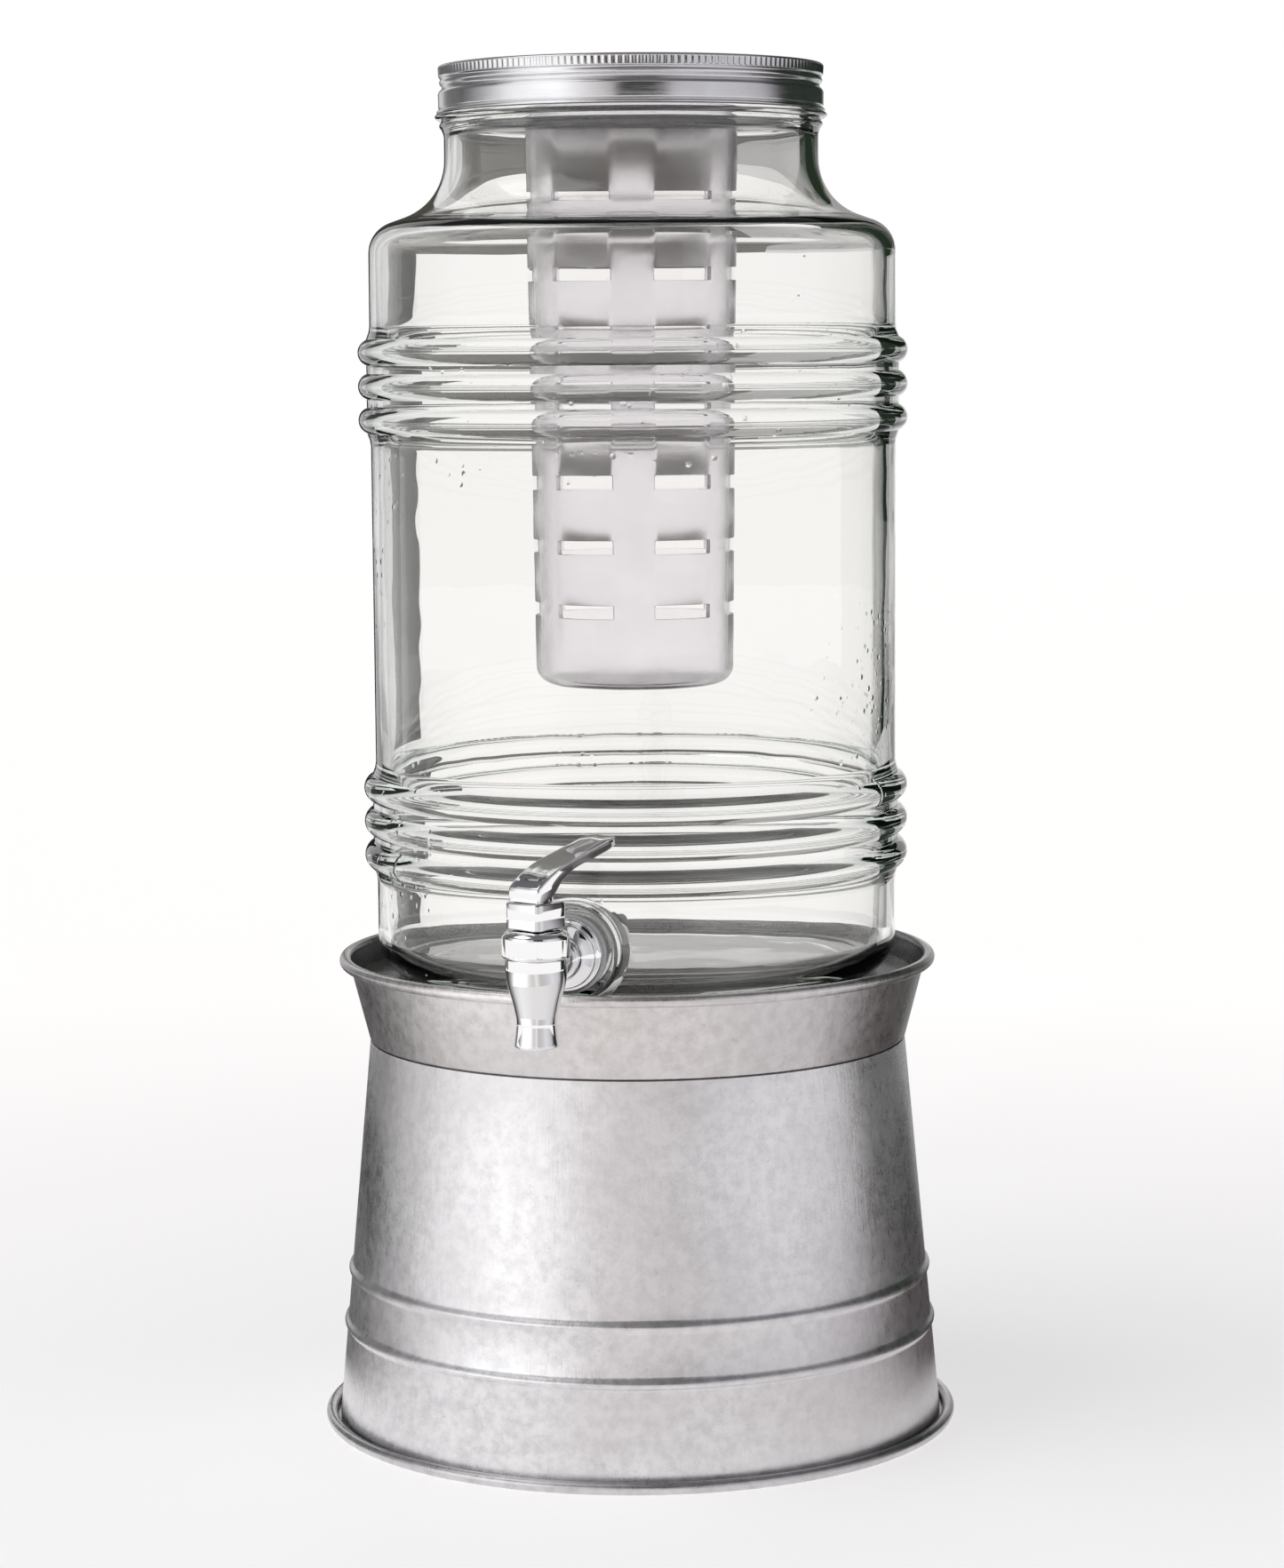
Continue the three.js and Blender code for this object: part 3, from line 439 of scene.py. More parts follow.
def milky(name, colour, transmission, roughness, ior=1.46):
    """Moulded translucent plastic with a faintly uneven surface."""
    made = Finish(name, IOR=ior, Transmission_Weight=transmission)
    cloud = made.noise(45, 4.0, 0.6)
    made.into("Base Color", made.ramp(
        cloud, [(0.3, [0.93 * c for c in colour]), (0.7, colour)]
    ))
    made.into("Roughness", made.spread(cloud, 0.3, 0.7, roughness - 0.05, roughness + 0.06))
    made.into("Normal", made.bumped(made.noise(60, 3.0, 0.5), 0.001, 0.25))
    return made.material


def rubber(name, colour):
    made = Finish(name, Specular_IOR_Level=0.35)
    grain = made.noise(260, 4.0, 0.6)
    made.into("Base Color", made.ramp(
        grain, [(0.3, [0.86 * c for c in colour]), (0.7, colour)]
    ))
    made.into("Roughness", made.spread(grain, 0.3, 0.7, 0.5, 0.65))
    made.into("Normal", made.bumped(grain, 0.0002, 0.3))
    return made.material


def spring_wire(name):
    made = Finish(name, Metallic=1.0)
    drawn = made.noise(300, 3.0, 0.6)
    made.into("Base Color", made.ramp(
        drawn, [(0.3, (0.42, 0.42, 0.43)), (0.7, (0.56, 0.56, 0.57))]
    ))
    made.into("Roughness", made.spread(drawn, 0.3, 0.7, 0.28, 0.42))
    return made.material


CONE_STEEL = galvanised("galvanised_cone")
# The collar's finish paints shade on its inner face.
COLLAR_STEEL_SHADED_INSIDE = galvanised(
    "galvanised_collar_painted_shade_inside", warmth=1.0, brightness=0.95,
    skin=(WAIST_RADIUS - COLLAR_SLOPE * WAIST_HEIGHT, COLLAR_SLOPE),
)
# Painted shade: the floor plate inside the collar is the same zinc at a quarter brightness, darkened for
# the shade under the jar.
FLOOR_STEEL_PAINTED_SHADE = galvanised("galvanised_floor_painted_shade", brightness=0.25)
TRAY_STEEL = galvanised("galvanised_tray", brightness=0.8)
GLASS = clear_glass("clear_glass")
CHROME = chrome("tap_chrome")
TIN = tinned("lid_tin")
INFUSER_PLASTIC = milky("infuser_plastic", (0.98, 0.965, 0.985), 1.0, 0.20, 1.25)
HOLDER_PLASTIC = milky("holder_plastic", (0.86, 0.85, 0.88), 0.85, 0.25)
NUT_PLASTIC = milky("nut_plastic", (0.86, 0.85, 0.83), 0.12, 0.45)
WASHER_RUBBER = rubber("washer_silicone", (0.50, 0.51, 0.52))
SEAL_RUBBER = rubber("seal_silicone", (0.72, 0.73, 0.74))
WIRE = spring_wire("drawn_wire")


# ---------------------------------------------------------------- stand


def cone_radius(height):
    return CONE_FOOT_RADIUS - (CONE_FOOT_RADIUS - WAIST_RADIUS) * height / WAIST_HEIGHT


def collar_radius(height):
    return WAIST_RADIUS + COLLAR_SLOPE * (height - WAIST_HEIGHT)


def rolled_rim(rim, start, end):
    return arc(*rim, HEM, start, end, 20)


def tray():
    line = [(0, 0), *rolled_rim(TRAY_RIM, -90, 165)]
    return turned(sheet(line, -SHEET)[:-1] + [(0, SHEET)])


def bead(height):
    """A half-round bead pressed out of the cone, from its lower edge up."""
    steps = 10
    width, rise = 5.6, 1.3
    points = []
    for i in range(steps + 1):
        share = i / steps - 0.5
        swell = rise * (0.5 + 0.5 * math.cos(2 * math.pi * share))
        points.append((cone_radius(height + width * share) + swell, height + width * share))
    return points


def cone():
    foot = 1.2
    line = softened([
        (cone_radius(foot) - 7, foot), (cone_radius(foot), foot, 1.4), (cone_radius(8), 8),
    ])[:-1]
    line += [point for height in BEAD_HEIGHTS for point in bead(height)]
    line += [(cone_radius(z), z) for z in range(64, WAIST_HEIGHT + 1, 16)]
    mesh = turned(sheet(line, -SHEET), 288)
    for vert in mesh.verts:
        x, y, z = (value / MM for value in vert.co)
        if y > 0 and abs(x) < 4.4 and 7 < z < WAIST_HEIGHT - 3:
            vert.co.y += 0.7 * MM
    return mesh


def collar():
    lap_foot = WAIST_HEIGHT - 11
    inner = SHEET + 0.3 + SHEET
    line = softened([
        (cone_radius(lap_foot) - inner, lap_foot),
        (cone_radius(WAIST_HEIGHT) - inner, 144.7, 0.4),
        (collar_radius(145.3) - SHEET, 145.3, 0.5),
        (collar_radius(RIM_HEIGHT - 1) - SHEET, RIM_HEIGHT - 1),
    ])
    return turned(sheet(line + rolled_rim(COLLAR_RIM, 180, -130), SHEET))


def stand_floor():
    top = JAR_BASE - 0.3
    edge = collar_radius(top) - SHEET - 0.4
    low_edge = collar_radius(top - 9) - SHEET - 0.4
    line = softened([(0, top), (edge, top, 1.6), (low_edge, top - 9)])
    return turned(sheet(line, SHEET)[:-1] + [(0, top - SHEET)])


# ---------------------------------------------------------------- glass jar


def body_radius(height):
    foot = JAR_BASE + 15
    share = (height - foot) / (RIB_MIDDLES[0] + 2 * RIB_PITCH - foot)
    return FOOT_RADIUS + (JAR_RADIUS - FOOT_RADIUS) * min(share, 1)


def ribs(middle):
    """Three round ribs from the top down, with narrow valleys between them."""
    start, end = middle + 1.5 * RIB_PITCH, middle - 1.5 * RIB_PITCH
    points = [(body_radius(start), start + 3.5), (body_radius(start) + 0.35, start + 1.2)]
    for centre in (middle + RIB_PITCH, middle, middle - RIB_PITCH):
        crest = body_radius(centre) + 4.5
        points += arc(crest - 5.3, centre, 5.3, 66, -66, 12)
        points.append((body_radius(centre) + 1.3, centre - RIB_PITCH / 2))
    points[-1] = (body_radius(end) + 0.35, end - 1.2)
    return points + [(body_radius(end), end - 3.5)]


def shoulder(inset):
    """Neck fillet, sloping shoulder and its corner, from the top down, moved in by inset."""
    lean = 90 - SHOULDER_SLOPE
    angle = math.radians(lean)
    fillet_r = NECK_RADIUS + NECK_FILLET
    fillet_end_r = fillet_r - NECK_FILLET * math.cos(angle)
    fillet_end_z = NECK_FOOT - NECK_FILLET * math.sin(angle)
    corner_r = JAR_RADIUS - SHOULDER_CORNER
    start_r = corner_r + SHOULDER_CORNER * math.cos(angle)
    start_z = fillet_end_z - (start_r - fillet_end_r) * math.tan(math.radians(SHOULDER_SLOPE))
    corner_z = start_z - SHOULDER_CORNER * math.sin(angle)
    return [
        *arc(fillet_r, NECK_FOOT, NECK_FILLET + inset, 180, 180 + lean, 12),
        *arc(corner_r, corner_z, SHOULDER_CORNER - inset, lean, 0, 10),
    ]


def inner_wall():
    """Inside of the body, from the top down, swelling a little behind the ribs."""
    points = []
    for z in range(410, 195, -5):
        swell = sum(0.7 * math.exp(-(((z - middle) / 17) ** 2)) for middle in RIB_MIDDLES)
        points.append((body_radius(z) - JAR_WALL + swell, z))
    return points


def jar():
    outside = softened([
        (NECK_RADIUS - JAR_WALL, MOUTH - 1.5),
        (NECK_RADIUS - JAR_WALL, MOUTH, 1.0), (68.3, MOUTH, 1.2),
        (68.3, 498.9, 0.4), (69.2, 497.3, 0.7), (68.3, 495.5, 0.5),
        (68.3, 490.4, 0.5), (72.5, 490.2, 0.7), (73.3, 489.1, 0.6), (72.4, 488.1, 0.7),
        (70.5, 487.5, 0.5), (71.8, 485.8, 1.0), (70.4, 484.0, 1.0), (NECK_RADIUS, 482.0, 1.0),
        (NECK_RADIUS, 478),
    ])
    foot = arc(FOOT_RADIUS - 15, JAR_BASE + 15, 15, 0, -90, 14)
    inner_radius = FOOT_RADIUS - JAR_WALL
    inside_foot = arc(inner_radius - 9, JAR_BASE + 16, 9, 0, -90, 10)
    wall = turned([
        (0, JAR_BASE + 7.4),
        *[(r, JAR_BASE + 7.4 - 0.4 * (r / 60) ** 2) for r in (25, 50)],
        *inside_foot[::-1],
        *inner_wall()[::-1],
        *shoulder(JAR_WALL)[::-1],
        *outside,
        *shoulder(0),
        *ribs(RIB_MIDDLES[0]),
        *ribs(RIB_MIDDLES[1]),
        *foot,
        *softened([(76, JAR_BASE), (72, JAR_BASE + 1.6, 1.5), (0, JAR_BASE + 2.6)])[1:],
    ])
    boss = turned(softened([
        (0, BOSS_FACE), (17.4, BOSS_FACE, 1.2), (17.9, 99.0, 1.2), (20.4, 95.4, 0.8),
        (19.5, 92.6, 0.3), (0, 92.6),
    ]), TAP_AROUND)
    pad = turned(softened([(0, PAD_FACE), (14, PAD_FACE, 0.8), (14.6, 97), (0, 97)]), TAP_AROUND)
    hole = turned([(0, 70), (SHANK_HOLE, 70), (SHANK_HOLE, 120), (0, 120)], TAP_AROUND)
    side = shift(0, 0, SHANK_HEIGHT)
    joined = combined(wall, "UNION", moved(boss, LAID_FORWARD, side), moved(pad, LAID_FORWARD, side))
    return combined(joined, "DIFFERENCE", moved(hole, LAID_FORWARD, side))


# ---------------------------------------------------------------- lid and infuser


def lid_shell():
    outside = softened([
        (0, 507.3), (64.5, 507.3, 0.8), (66.0, 508.0, 0.8), (71.3, 508.0, 0.5),
        (71.9, 507.4, 0.3), (71.9, 506.9), (71.75, 504.3), (71.6, 503.9, 0.2), (70.9, 503.1, 0.4),
        (71.6, 501.7, 0.7), (70.1, 499.9, 0.8), (71.6, 498.3, 0.5), (71.9, 497.6, 0.4),
        (71.8, 492.4, 0.3), (71.3, 491.9, 0.2), (72.3, 491.3, 0.3), (72.5, 490.7, 0.3),
        (72.0, 490.2, 0.3), (71.2, 490.2, 0.3),
    ])
    inside = [
        (71.0, 491.0), (71.0, 497.3), (69.3, 499.9), (70.6, 501.7), (70.1, 503.1),
        (70.2, 507.1), (66.2, 507.2), (64.4, 506.6), (0, 506.6),
    ]
    mesh = turned(outside + inside, 4 * LID_TEETH)
    depth = 0.45
    for vert in mesh.verts:
        radius = math.hypot(vert.co.x, vert.co.y) / MM
        if radius > 71.2 and 504.1 < vert.co.z / MM < 507.2:
            quarter = round(math.atan2(vert.co.y, vert.co.x) / math.tau * 4 * LID_TEETH)
            cut = depth * (0.5 - 0.5 * math.cos(quarter * math.pi / 2))
            vert.co.xy *= 1 - cut / radius
    return mesh


def gasket():
    return turned(softened([
        (65.6, 502.8, 0.4), (68.0, 502.8, 0.4), (68.0, 504.6, 0.4), (65.6, 504.6, 0.4),
    ], closed=True, steps=3))


def infuser_holder():
    return turned(softened([
        (0, 504.9), (38.3, 504.9, 0.6), (38.3, 488.9, 0.4), (40.9, 488.9, 0.6),
        (40.9, 504.9, 1.0), (68.3, 504.9, 0.5), (68.3, 506.35, 0.4), (0, 506.35),
    ], steps=4), 144)


def infuser_radius(height):
    return 35 + 2.7 * (height - 278) / 210.9


def infuser():
    """A slotted tube with a closed rounded foot, one skin thick until its wall is given."""
    base, corner = 278, 5
    slot_rows = [(306 + 24.7 * row - 2.65, 306 + 24.7 * row + 2.65) for row in range(7)]
    line = [(0, base), *arc(35 - corner, base + corner, corner, -90, 0, 8)]
    line += [(infuser_radius(z), z) for row in slot_rows for z in row]
    line += [(37.7, 488.9), (37.7, 502.4)]
    steps = 180
    mesh = bmesh.new()
    verts = [mesh.verts.new((r * MM, 0, z * MM)) for r, z in line]
    edges = [mesh.edges.new(pair) for pair in zip(verts, verts[1:])]
    bmesh.ops.spin(
        mesh, geom=verts + edges, cent=(0, 0, 0), axis=(0, 0, 1), dvec=(0, 0, 0),
        angle=2 * math.pi, steps=steps, use_merge=True, use_duplicate=False,
    )
    bmesh.ops.remove_doubles(mesh, verts=mesh.verts, dist=1e-7)
    bmesh.ops.recalc_face_normals(mesh, faces=mesh.faces)
    if sum(face.normal.dot(face.calc_center_median()) for face in mesh.faces) < 0:
        bmesh.ops.reverse_faces(mesh, faces=mesh.faces)
    slots = []
    for face in mesh.faces:
        centre = face.calc_center_median()
        turned_by = math.degrees(math.atan2(centre.y, centre.x)) % 60
        in_row = any(low < centre.z / MM < high for low, high in slot_rows)
        if in_row and min(turned_by, 60 - turned_by) < 18:
            slots.append(face)
    bmesh.ops.delete(mesh, geom=slots, context="FACES")
    return moved(walled(mesh, 2.0, 0.3), turn(INFUSER_TURN, "Z"))


# ---------------------------------------------------------------- tap


def tap_body():
    body = turned(softened([
        (0, -26), (7.1, -26, 0.4), (7.8, -25.2, 0.5), (7.3, -21.5, 1.5), (6.8, -16.5, 2.0),
        (8.4, -9.5, 2.5), (10.3, -3.5, 2.5), (10.7, 0.5, 1.5), (10.6, 5.0, 0.3),
        (9.5, 5.0), (9.5, 10, 0.3), (0, 10),
    ], steps=8), TAP_AROUND)
    thread = [
        point for i in range(6)
        for point in ((SHANK_RADIUS, 55 + 2 * i), (SHANK_RADIUS - 0.45, 56 + 2 * i))
    ]
    flange = turned(softened([
        (0, 30), (7.0, 30), (7.3, 33.2, 1.6), (9.6, 35.0, 1.2), (11.2, 35.9, 0.5),
        (11.6, 36.6, 0.4), (11.6, 38.4, 0.25), (12.6, 38.7, 0.4), (13.2, 39.4, 0.4),
        (13.2, 41.3, 0.4), (12.8, FLANGE_BACK, 0.2), (SHANK_RADIUS, FLANGE_BACK),
    ]) + thread + [(SHANK_RADIUS - 0.6, SHANK_TIP), (0, SHANK_TIP)], TAP_AROUND)
    lean = math.degrees(math.atan2(1.8, 38.7))
    arm = turned([(0, 0), (5.4, 0), (5.9, 14), (6.5, 24), (7.1, 34), (0, 34)], TAP_AROUND)
    arm = moved(arm, LAID_BACK, turn(lean, "X"), shift(0, 0, -1.8))
    solid = combined(body, "UNION", moved(flange, LAID_BACK), arm)
    chamber = turned(
        [(0, -27), (4.9, -27), (4.6, -25.5), (4.6, -6.5), (7.9, -6.5), (7.9, 11), (0, 11)],
        TAP_AROUND,
    )
    inlet = moved(
        turned([(0, 0), (4.2, 0), (4.2, 70), (0, 70)], 48), LAID_BACK, shift(0, 0, -1)
    )
    return moved(combined(solid, "DIFFERENCE", chamber, inlet), TO_SPOUT)


def bonnet():
    mesh = turned(softened([
        (9.8, 5.3), (11.4, 5.3, 0.3), (11.75, 5.8, 0.3), (11.75, 6.2), (11.75, 6.25),
        (11.75, 11.9), (11.75, 11.95), (11.75, 12.6, 0.6), (10.9, 13.9, 0.9), (9.2, 14.9, 1.2),
        (2.8, 14.9, 0.2), (2.8, 12.8), (6.0, 12.8), (6.0, 11.6), (9.8, 11.6),
    ], closed=True, steps=5), 160)
    for vert in mesh.verts:
        radius = math.hypot(vert.co.x, vert.co.y) / MM
        away = math.degrees(math.atan2(vert.co.y, vert.co.x)) % 45 - 22.5
        if radius > 11.6 and abs(away) < 5.2 and 6.22 < vert.co.z / MM < 11.93:
            vert.co.xy *= 1 - 0.45 / radius
    return moved(mesh, TO_SPOUT)


def washer(outer, near, far):
    mesh = turned(softened([
        (SHANK_HOLE, near), (outer, near, 0.4), (outer, far, 0.4), (SHANK_HOLE, far),
    ]), TAP_AROUND)
    return moved(mesh, LAID_FORWARD, shift(0, 0, SHANK_HEIGHT))


def shank_nut():
    hexagon = turned([(0, 81.9), (11.5, 81.9), (11.5, 87.9), (0, 87.9)], 6)
    hexagon = combined(hexagon, "INTERSECT", turned(softened([
        (0, 81.9), (11.6, 81.9, 1.2), (11.6, 87.9, 1.2), (0, 87.9),
    ]), TAP_AROUND))
    bore = turned([(0, 80), (SHANK_HOLE, 80), (SHANK_HOLE, 90), (0, 90)], 64)
    mesh = combined(hexagon, "DIFFERENCE", bore)
    return moved(mesh, LAID_FORWARD, shift(0, 0, SHANK_HEIGHT))


def coil_spring():
    """The valve's closed-end spring, round the stem above its collar."""
    mesh = bmesh.new()
    low, high, turns, steps = 189.6, 202.0, 4, 24
    bmesh.ops.create_circle(mesh, segments=10, radius=0.5 * MM)
    bmesh.ops.transform(mesh, matrix=shift(4.4, 0, low) @ turn(90, "X"), verts=mesh.verts)
    rise = (high - low) / (turns * steps)
    bmesh.ops.spin(
        mesh, geom=list(mesh.verts) + list(mesh.edges), cent=(0, 0, 0), axis=(0, 0, 1),
        dvec=(0, 0, rise * MM), angle=turns * math.tau, steps=turns * steps,
        use_merge=False, use_duplicate=False,
    )
    bmesh.ops.holes_fill(mesh, edges=[e for e in mesh.edges if e.is_boundary], sides=0)
    bmesh.ops.recalc_face_normals(mesh, faces=mesh.faces)
    return moved(mesh, shift(0, -SPOUT_REACH, 0))


def handle_hub():
    """The square block that the lever rocks in, slotted from the back."""
    mesh = block((-8, -8, 205.2), (8, 8, 214.5))
    upright = [e for e in mesh.edges if abs(e.verts[0].co.z - e.verts[1].co.z) > 1e-4]
    rounded_edges(mesh, upright, 3, 6)
    level = [e for e in mesh.edges if abs(e.verts[0].co.z - e.verts[1].co.z) < 1e-6]
    rounded_edges(mesh, level, 0.7, 3)
    slot = block((-5.3, -6.2, 208.2), (5.3, 9, 216))
    bore = turned([(0, 204), (2.8, 204), (2.8, 209), (0, 209)], 48)
    return moved(combined(mesh, "DIFFERENCE", slot, bore), TO_LEVER)


LEVER_LINE = (  # (front or top of the lever, back or underside), along its length
    ((-6.5, 214.85), (-0.6, 214.85)),
    ((-6.6, 216.0), (0.2, 215.3)),
    ((-6.6, 217.4), (1.6, 216.0)),
    ((-6.55, 218.6), (3.0, 216.9)),
    ((-6.2, 219.6), (4.2, 218.0)),
    ((-5.4, 220.4), (5.3, 219.3)),
    ((-3.6, 221.7), (6.7, 220.7)),
    ((-0.8, 223.4), (8.6, 222.2)),
    ((2.4, 225.0), (10.9, 223.6)),
    ((6.0, 226.4), (13.6, 224.8)),
    ((10.0, 227.6), (16.6, 225.7)),
    ((14.2, 228.7), (20.0, 226.5)),
    ((18.6, 229.8), (23.6, 227.3)),
    ((23.2, 230.9), (27.2, 228.2)),
    ((27.6, 232.0), (30.6, 229.1)),
    ((31.4, 233.0), (33.6, 230.0)),
    ((34.4, 233.6), (36.0, 230.9)),
    ((36.6, 233.8), (37.4, 231.7)),
    ((37.8, 233.5), (38.0, 232.4)),
)


def lever_half_width(reach):
    """Half the lever's width: straight along most of it, with a round tip."""
    tip = 7.2
    over = max(0, reach - (38.2 - tip)) / tip
    return (6.9 + 0.3 * max(0, min(1, reach / 20))) * math.sqrt(max(0.02, 1 - over**2.6))


def lever_section(top, under):
    """A loop round the lever: rounded corners, a slightly dished top and sides leaning in."""
    top, under = Vector(top), Vector(under)
    down = under - top
    half = lever_half_width((top.x + under.x) / 2)
    corner = min(1.1, 0.32 * down.length, 0.4 * half)
    dish = 0.35 if top.x > -3 else 0.0
    loop = []
    for side, (start, end) in ((1, (90, 0)), (1, (0, -90)), (-1, (270, 180)), (-1, (180, 90))):
        is_top = (start, end) in ((90, 0), (180, 90))
        lean = 0.0 if is_top else 0.5
        centre_y = -corner if is_top else corner - down.length
        for across, depth in arc(side * (half - corner - lean), centre_y, corner, start, end, 4):
            loop.append((across, -depth / down.length))
    middle = [(0.4 * half, 0), (0, 0), (-0.4 * half, 0)]
    verts = []
    for across, share in loop + middle[::-1]:
        sink = dish * max(0, 1 - (across / half) ** 2) if share < 0.05 else 0
        place = top + down * share + down.normalized() * sink
        verts.append((across, place.x, place.y))
    return verts


def lofted(sections):
    """Loops of points joined one to the next, with both ends closed."""
    mesh = bmesh.new()
    edges = []
    for section in sections:
        verts = [mesh.verts.new([value * MM for value in point]) for point in section]
        edges += [mesh.edges.new((a, b)) for a, b in zip(verts, verts[1:] + verts[:1])]
    bmesh.ops.bridge_loops(mesh, edges=edges)
    bmesh.ops.holes_fill(mesh, edges=[e for e in mesh.edges if e.is_boundary], sides=0)
    bmesh.ops.recalc_face_normals(mesh, faces=mesh.faces)
    return mesh


def smooth_line(pairs, between=3):
    """The lever's pairs of points with smooth ones put between them."""
    def at(values, i, t):
        a, b, c, d = (values[max(0, min(len(values) - 1, j))] for j in (i - 1, i, i + 1, i + 2))
        return 0.5 * (
            2 * b + (c - a) * t + (2 * a - 5 * b + 4 * c - d) * t**2 + (3 * b - a - 3 * c + d) * t**3
        )
    tracks = [[pair[side][axis] for pair in pairs] for side in (0, 1) for axis in (0, 1)]
    made = []
    for i in range(len(pairs) - 1):
        for step in range(between):
            a, b, c, d = (at(track, i, step / between) for track in tracks)
            made.append(((a, b), (c, d)))
    return made + [pairs[-1]]


def lever():
    arm = lofted([lever_section(*pair) for pair in smooth_line(LEVER_LINE)])
    foot = block((-4.9, -4.9, 208.7), (4.9, 3.2, 216.2), 0.4, 2)
    stem_way = block((-2.8, -7, 206), (2.8, 7, 213.4))
    pin_hole = moved(
        turned([(0, -14), (1.5, -14), (1.5, 14), (0, 14)], 32), ACROSS, shift(0, 0, 210)
    )
    solid = combined(arm, "UNION", foot)
    return moved(combined(solid, "DIFFERENCE", stem_way, pin_hole), TO_LEVER)


# ---------------------------------------------------------------- the dispenser

piece("tray", tray(), TRAY_STEEL, "stand", ["base_tray"])
piece("tray_wire", turned(circle(*TRAY_RIM, RIM_WIRE)), WIRE, "stand", ["tray_rim_wire"])
piece("cone", cone(), CONE_STEEL, "stand", ["stand_cone"])
piece("collar", collar(), COLLAR_STEEL_SHADED_INSIDE, "stand", ["stand_collar"])
piece("collar_wire", turned(circle(*COLLAR_RIM, RIM_WIRE)), WIRE, "stand", ["collar_rim_wire"])
# The floor plate's finish is painted shade.
piece("floor_plate", stand_floor(), FLOOR_STEEL_PAINTED_SHADE, "stand", ["stand_floor"])

piece("jar_glass", jar(), GLASS, "jar", ["glass_jar"])
piece("tap_body", tap_body(), CHROME, "jar", ["spigot_body"])
piece("tap_bonnet", bonnet(), CHROME, "jar", ["bonnet"])
piece("washer_outside", washer(14.2, 103.5, 106.0), WASHER_RUBBER, "jar", ["outer_washer"])
piece("washer_inside", washer(12.0, 88.2, 90.2), WASHER_RUBBER, "jar", ["inner_washer"])
piece("nut", shank_nut(), NUT_PLASTIC, "jar", ["shank_nut"])
spring = piece("spring", coil_spring(), WIRE, "jar", ["valve_spring"], 60)
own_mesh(spring)
piece("hub", handle_hub(), CHROME, "hub", ["handle_hub"])
piece("lever", lever(), CHROME, "handle", ["spigot_handle"], 28)

piece("lid", lid_shell(), TIN, "lid", ["lid_shell"], 50)
piece("seal_ring", gasket(), SEAL_RUBBER, "lid_seal", ["lid_gasket"])
piece("holder", infuser_holder(), HOLDER_PLASTIC, "lid", ["infuser_holder"])
piece("infuser", infuser(), INFUSER_PLASTIC, "infuser", ["infuser_tube"], 25)

for node, material in (
    ("valve_stem", NUT_PLASTIC), ("seat_cup", SEAL_RUBBER), ("bonnet_seal", SEAL_RUBBER),
    ("handle_pin", CHROME),
):
    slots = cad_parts[node].data.materials
    slots.clear()
    slots.append(material)


# ---------------------------------------------------------------- studio


def studio_floor():
    """A pale floor that brightens into the backdrop well away from the dispenser."""
    mesh = bmesh.new()
    bmesh.ops.create_circle(mesh, cap_ends=True, segments=96, radius=6.0)
    floor = as_object(mesh, "studio_floor")
    pale = Finish("studio_floor", Specular_IOR_Level=0.1, Roughness=0.9)
    length = pale.node("ShaderNodeVectorMath", operation="LENGTH")
    pale.link(pale.place, length.inputs[0])
    away = pale.spread(length.outputs["Value"], 0.15, 1.0, 0.0, 1.0)
    mottled = pale.ramp(pale.noise(3, 2.0, 0.5), [(0.3, (0.80,) * 3), (0.7, (0.82,) * 3)])
    pale.into("Base Color", pale.mixed(away, mottled, (0, 0, 0)))
    pale.shader.inputs["Emission Color"].default_value = (1.0, 0.985, 0.98, 1)
    pale.into("Emission Strength", pale.spread(away, 0.0, 1.0, 0.55, 1.0))
    floor.data.materials.append(pale.material)


PANELS = (  # (from and to bearing, low, high, distance in metres, colour, seen through glass)
    (-155, -147, 0.0, 0.50, 1.25, (0.03, 0.03, 0.03), True),
    (-172, -147, 0.48, 1.5, 1.25, (0.08, 0.075, 0.065), True),
    (-147, -132, 0.0, 1.5, 1.25, (0.80, 0.80, 0.80), True),
    (-132, -106, 0.0, 1.5, 1.25, (0.18, 0.18, 0.18), False),
    (112, 142, 0.0, 1.5, 1.25, (0.02, 0.03, 0.022), False),
    (142, 160, 0.0, 1.5, 1.25, (0.02, 0.03, 0.022), True),
    (160, 175, 0.0, 0.48, 1.25, (0.60, 0.60, 0.60), True),
    (160, 175, 0.48, 1.5, 1.25, (0.02, 0.032, 0.018), True),
    (175, 188, 0.47, 0.505, 1.25, (0.66, 0.65, 0.65), True),
    (175, 188, 0.505, 1.5, 1.25, (0.38, 0.37, 0.37), True),
    (5, 34, 0.38, 0.95, 1.0, (0.01, 0.01, 0.01), False),
)


def studio_panels():
    """Cards behind, beside and before the dispenser that only its glass and metal pick up."""
    for i, (start, end, low, high, distance, colour, through) in enumerate(PANELS):
        mesh = bmesh.new()
        corners = [mesh.verts.new((0, -distance, z)) for z in (low, high)]
        upright = mesh.edges.new(corners)
        bmesh.ops.rotate(
            mesh, verts=corners, cent=(0, 0, 0), matrix=Matrix.Rotation(math.radians(start), 3, "Z")
        )
        bmesh.ops.spin(
            mesh, geom=[*corners, upright], cent=(0, 0, 0), axis=(0, 0, 1), dvec=(0, 0, 0),
            angle=math.radians(end - start), steps=8, use_merge=False, use_duplicate=False,
        )
        panel = as_object(mesh, f"studio_panel_{i}")
        card = Finish(f"studio_card_{i}", Base_Color=(0, 0, 0, 1), Specular_IOR_Level=0.0)
        card.shader.inputs["Emission Color"].default_value = (*colour, 1)
        card.shader.inputs["Emission Strength"].default_value = 1.0
        panel.data.materials.append(card.material)
        panel.visible_camera = False
        panel.visible_diffuse = False
        panel.visible_shadow = False
        panel.visible_transmission = through


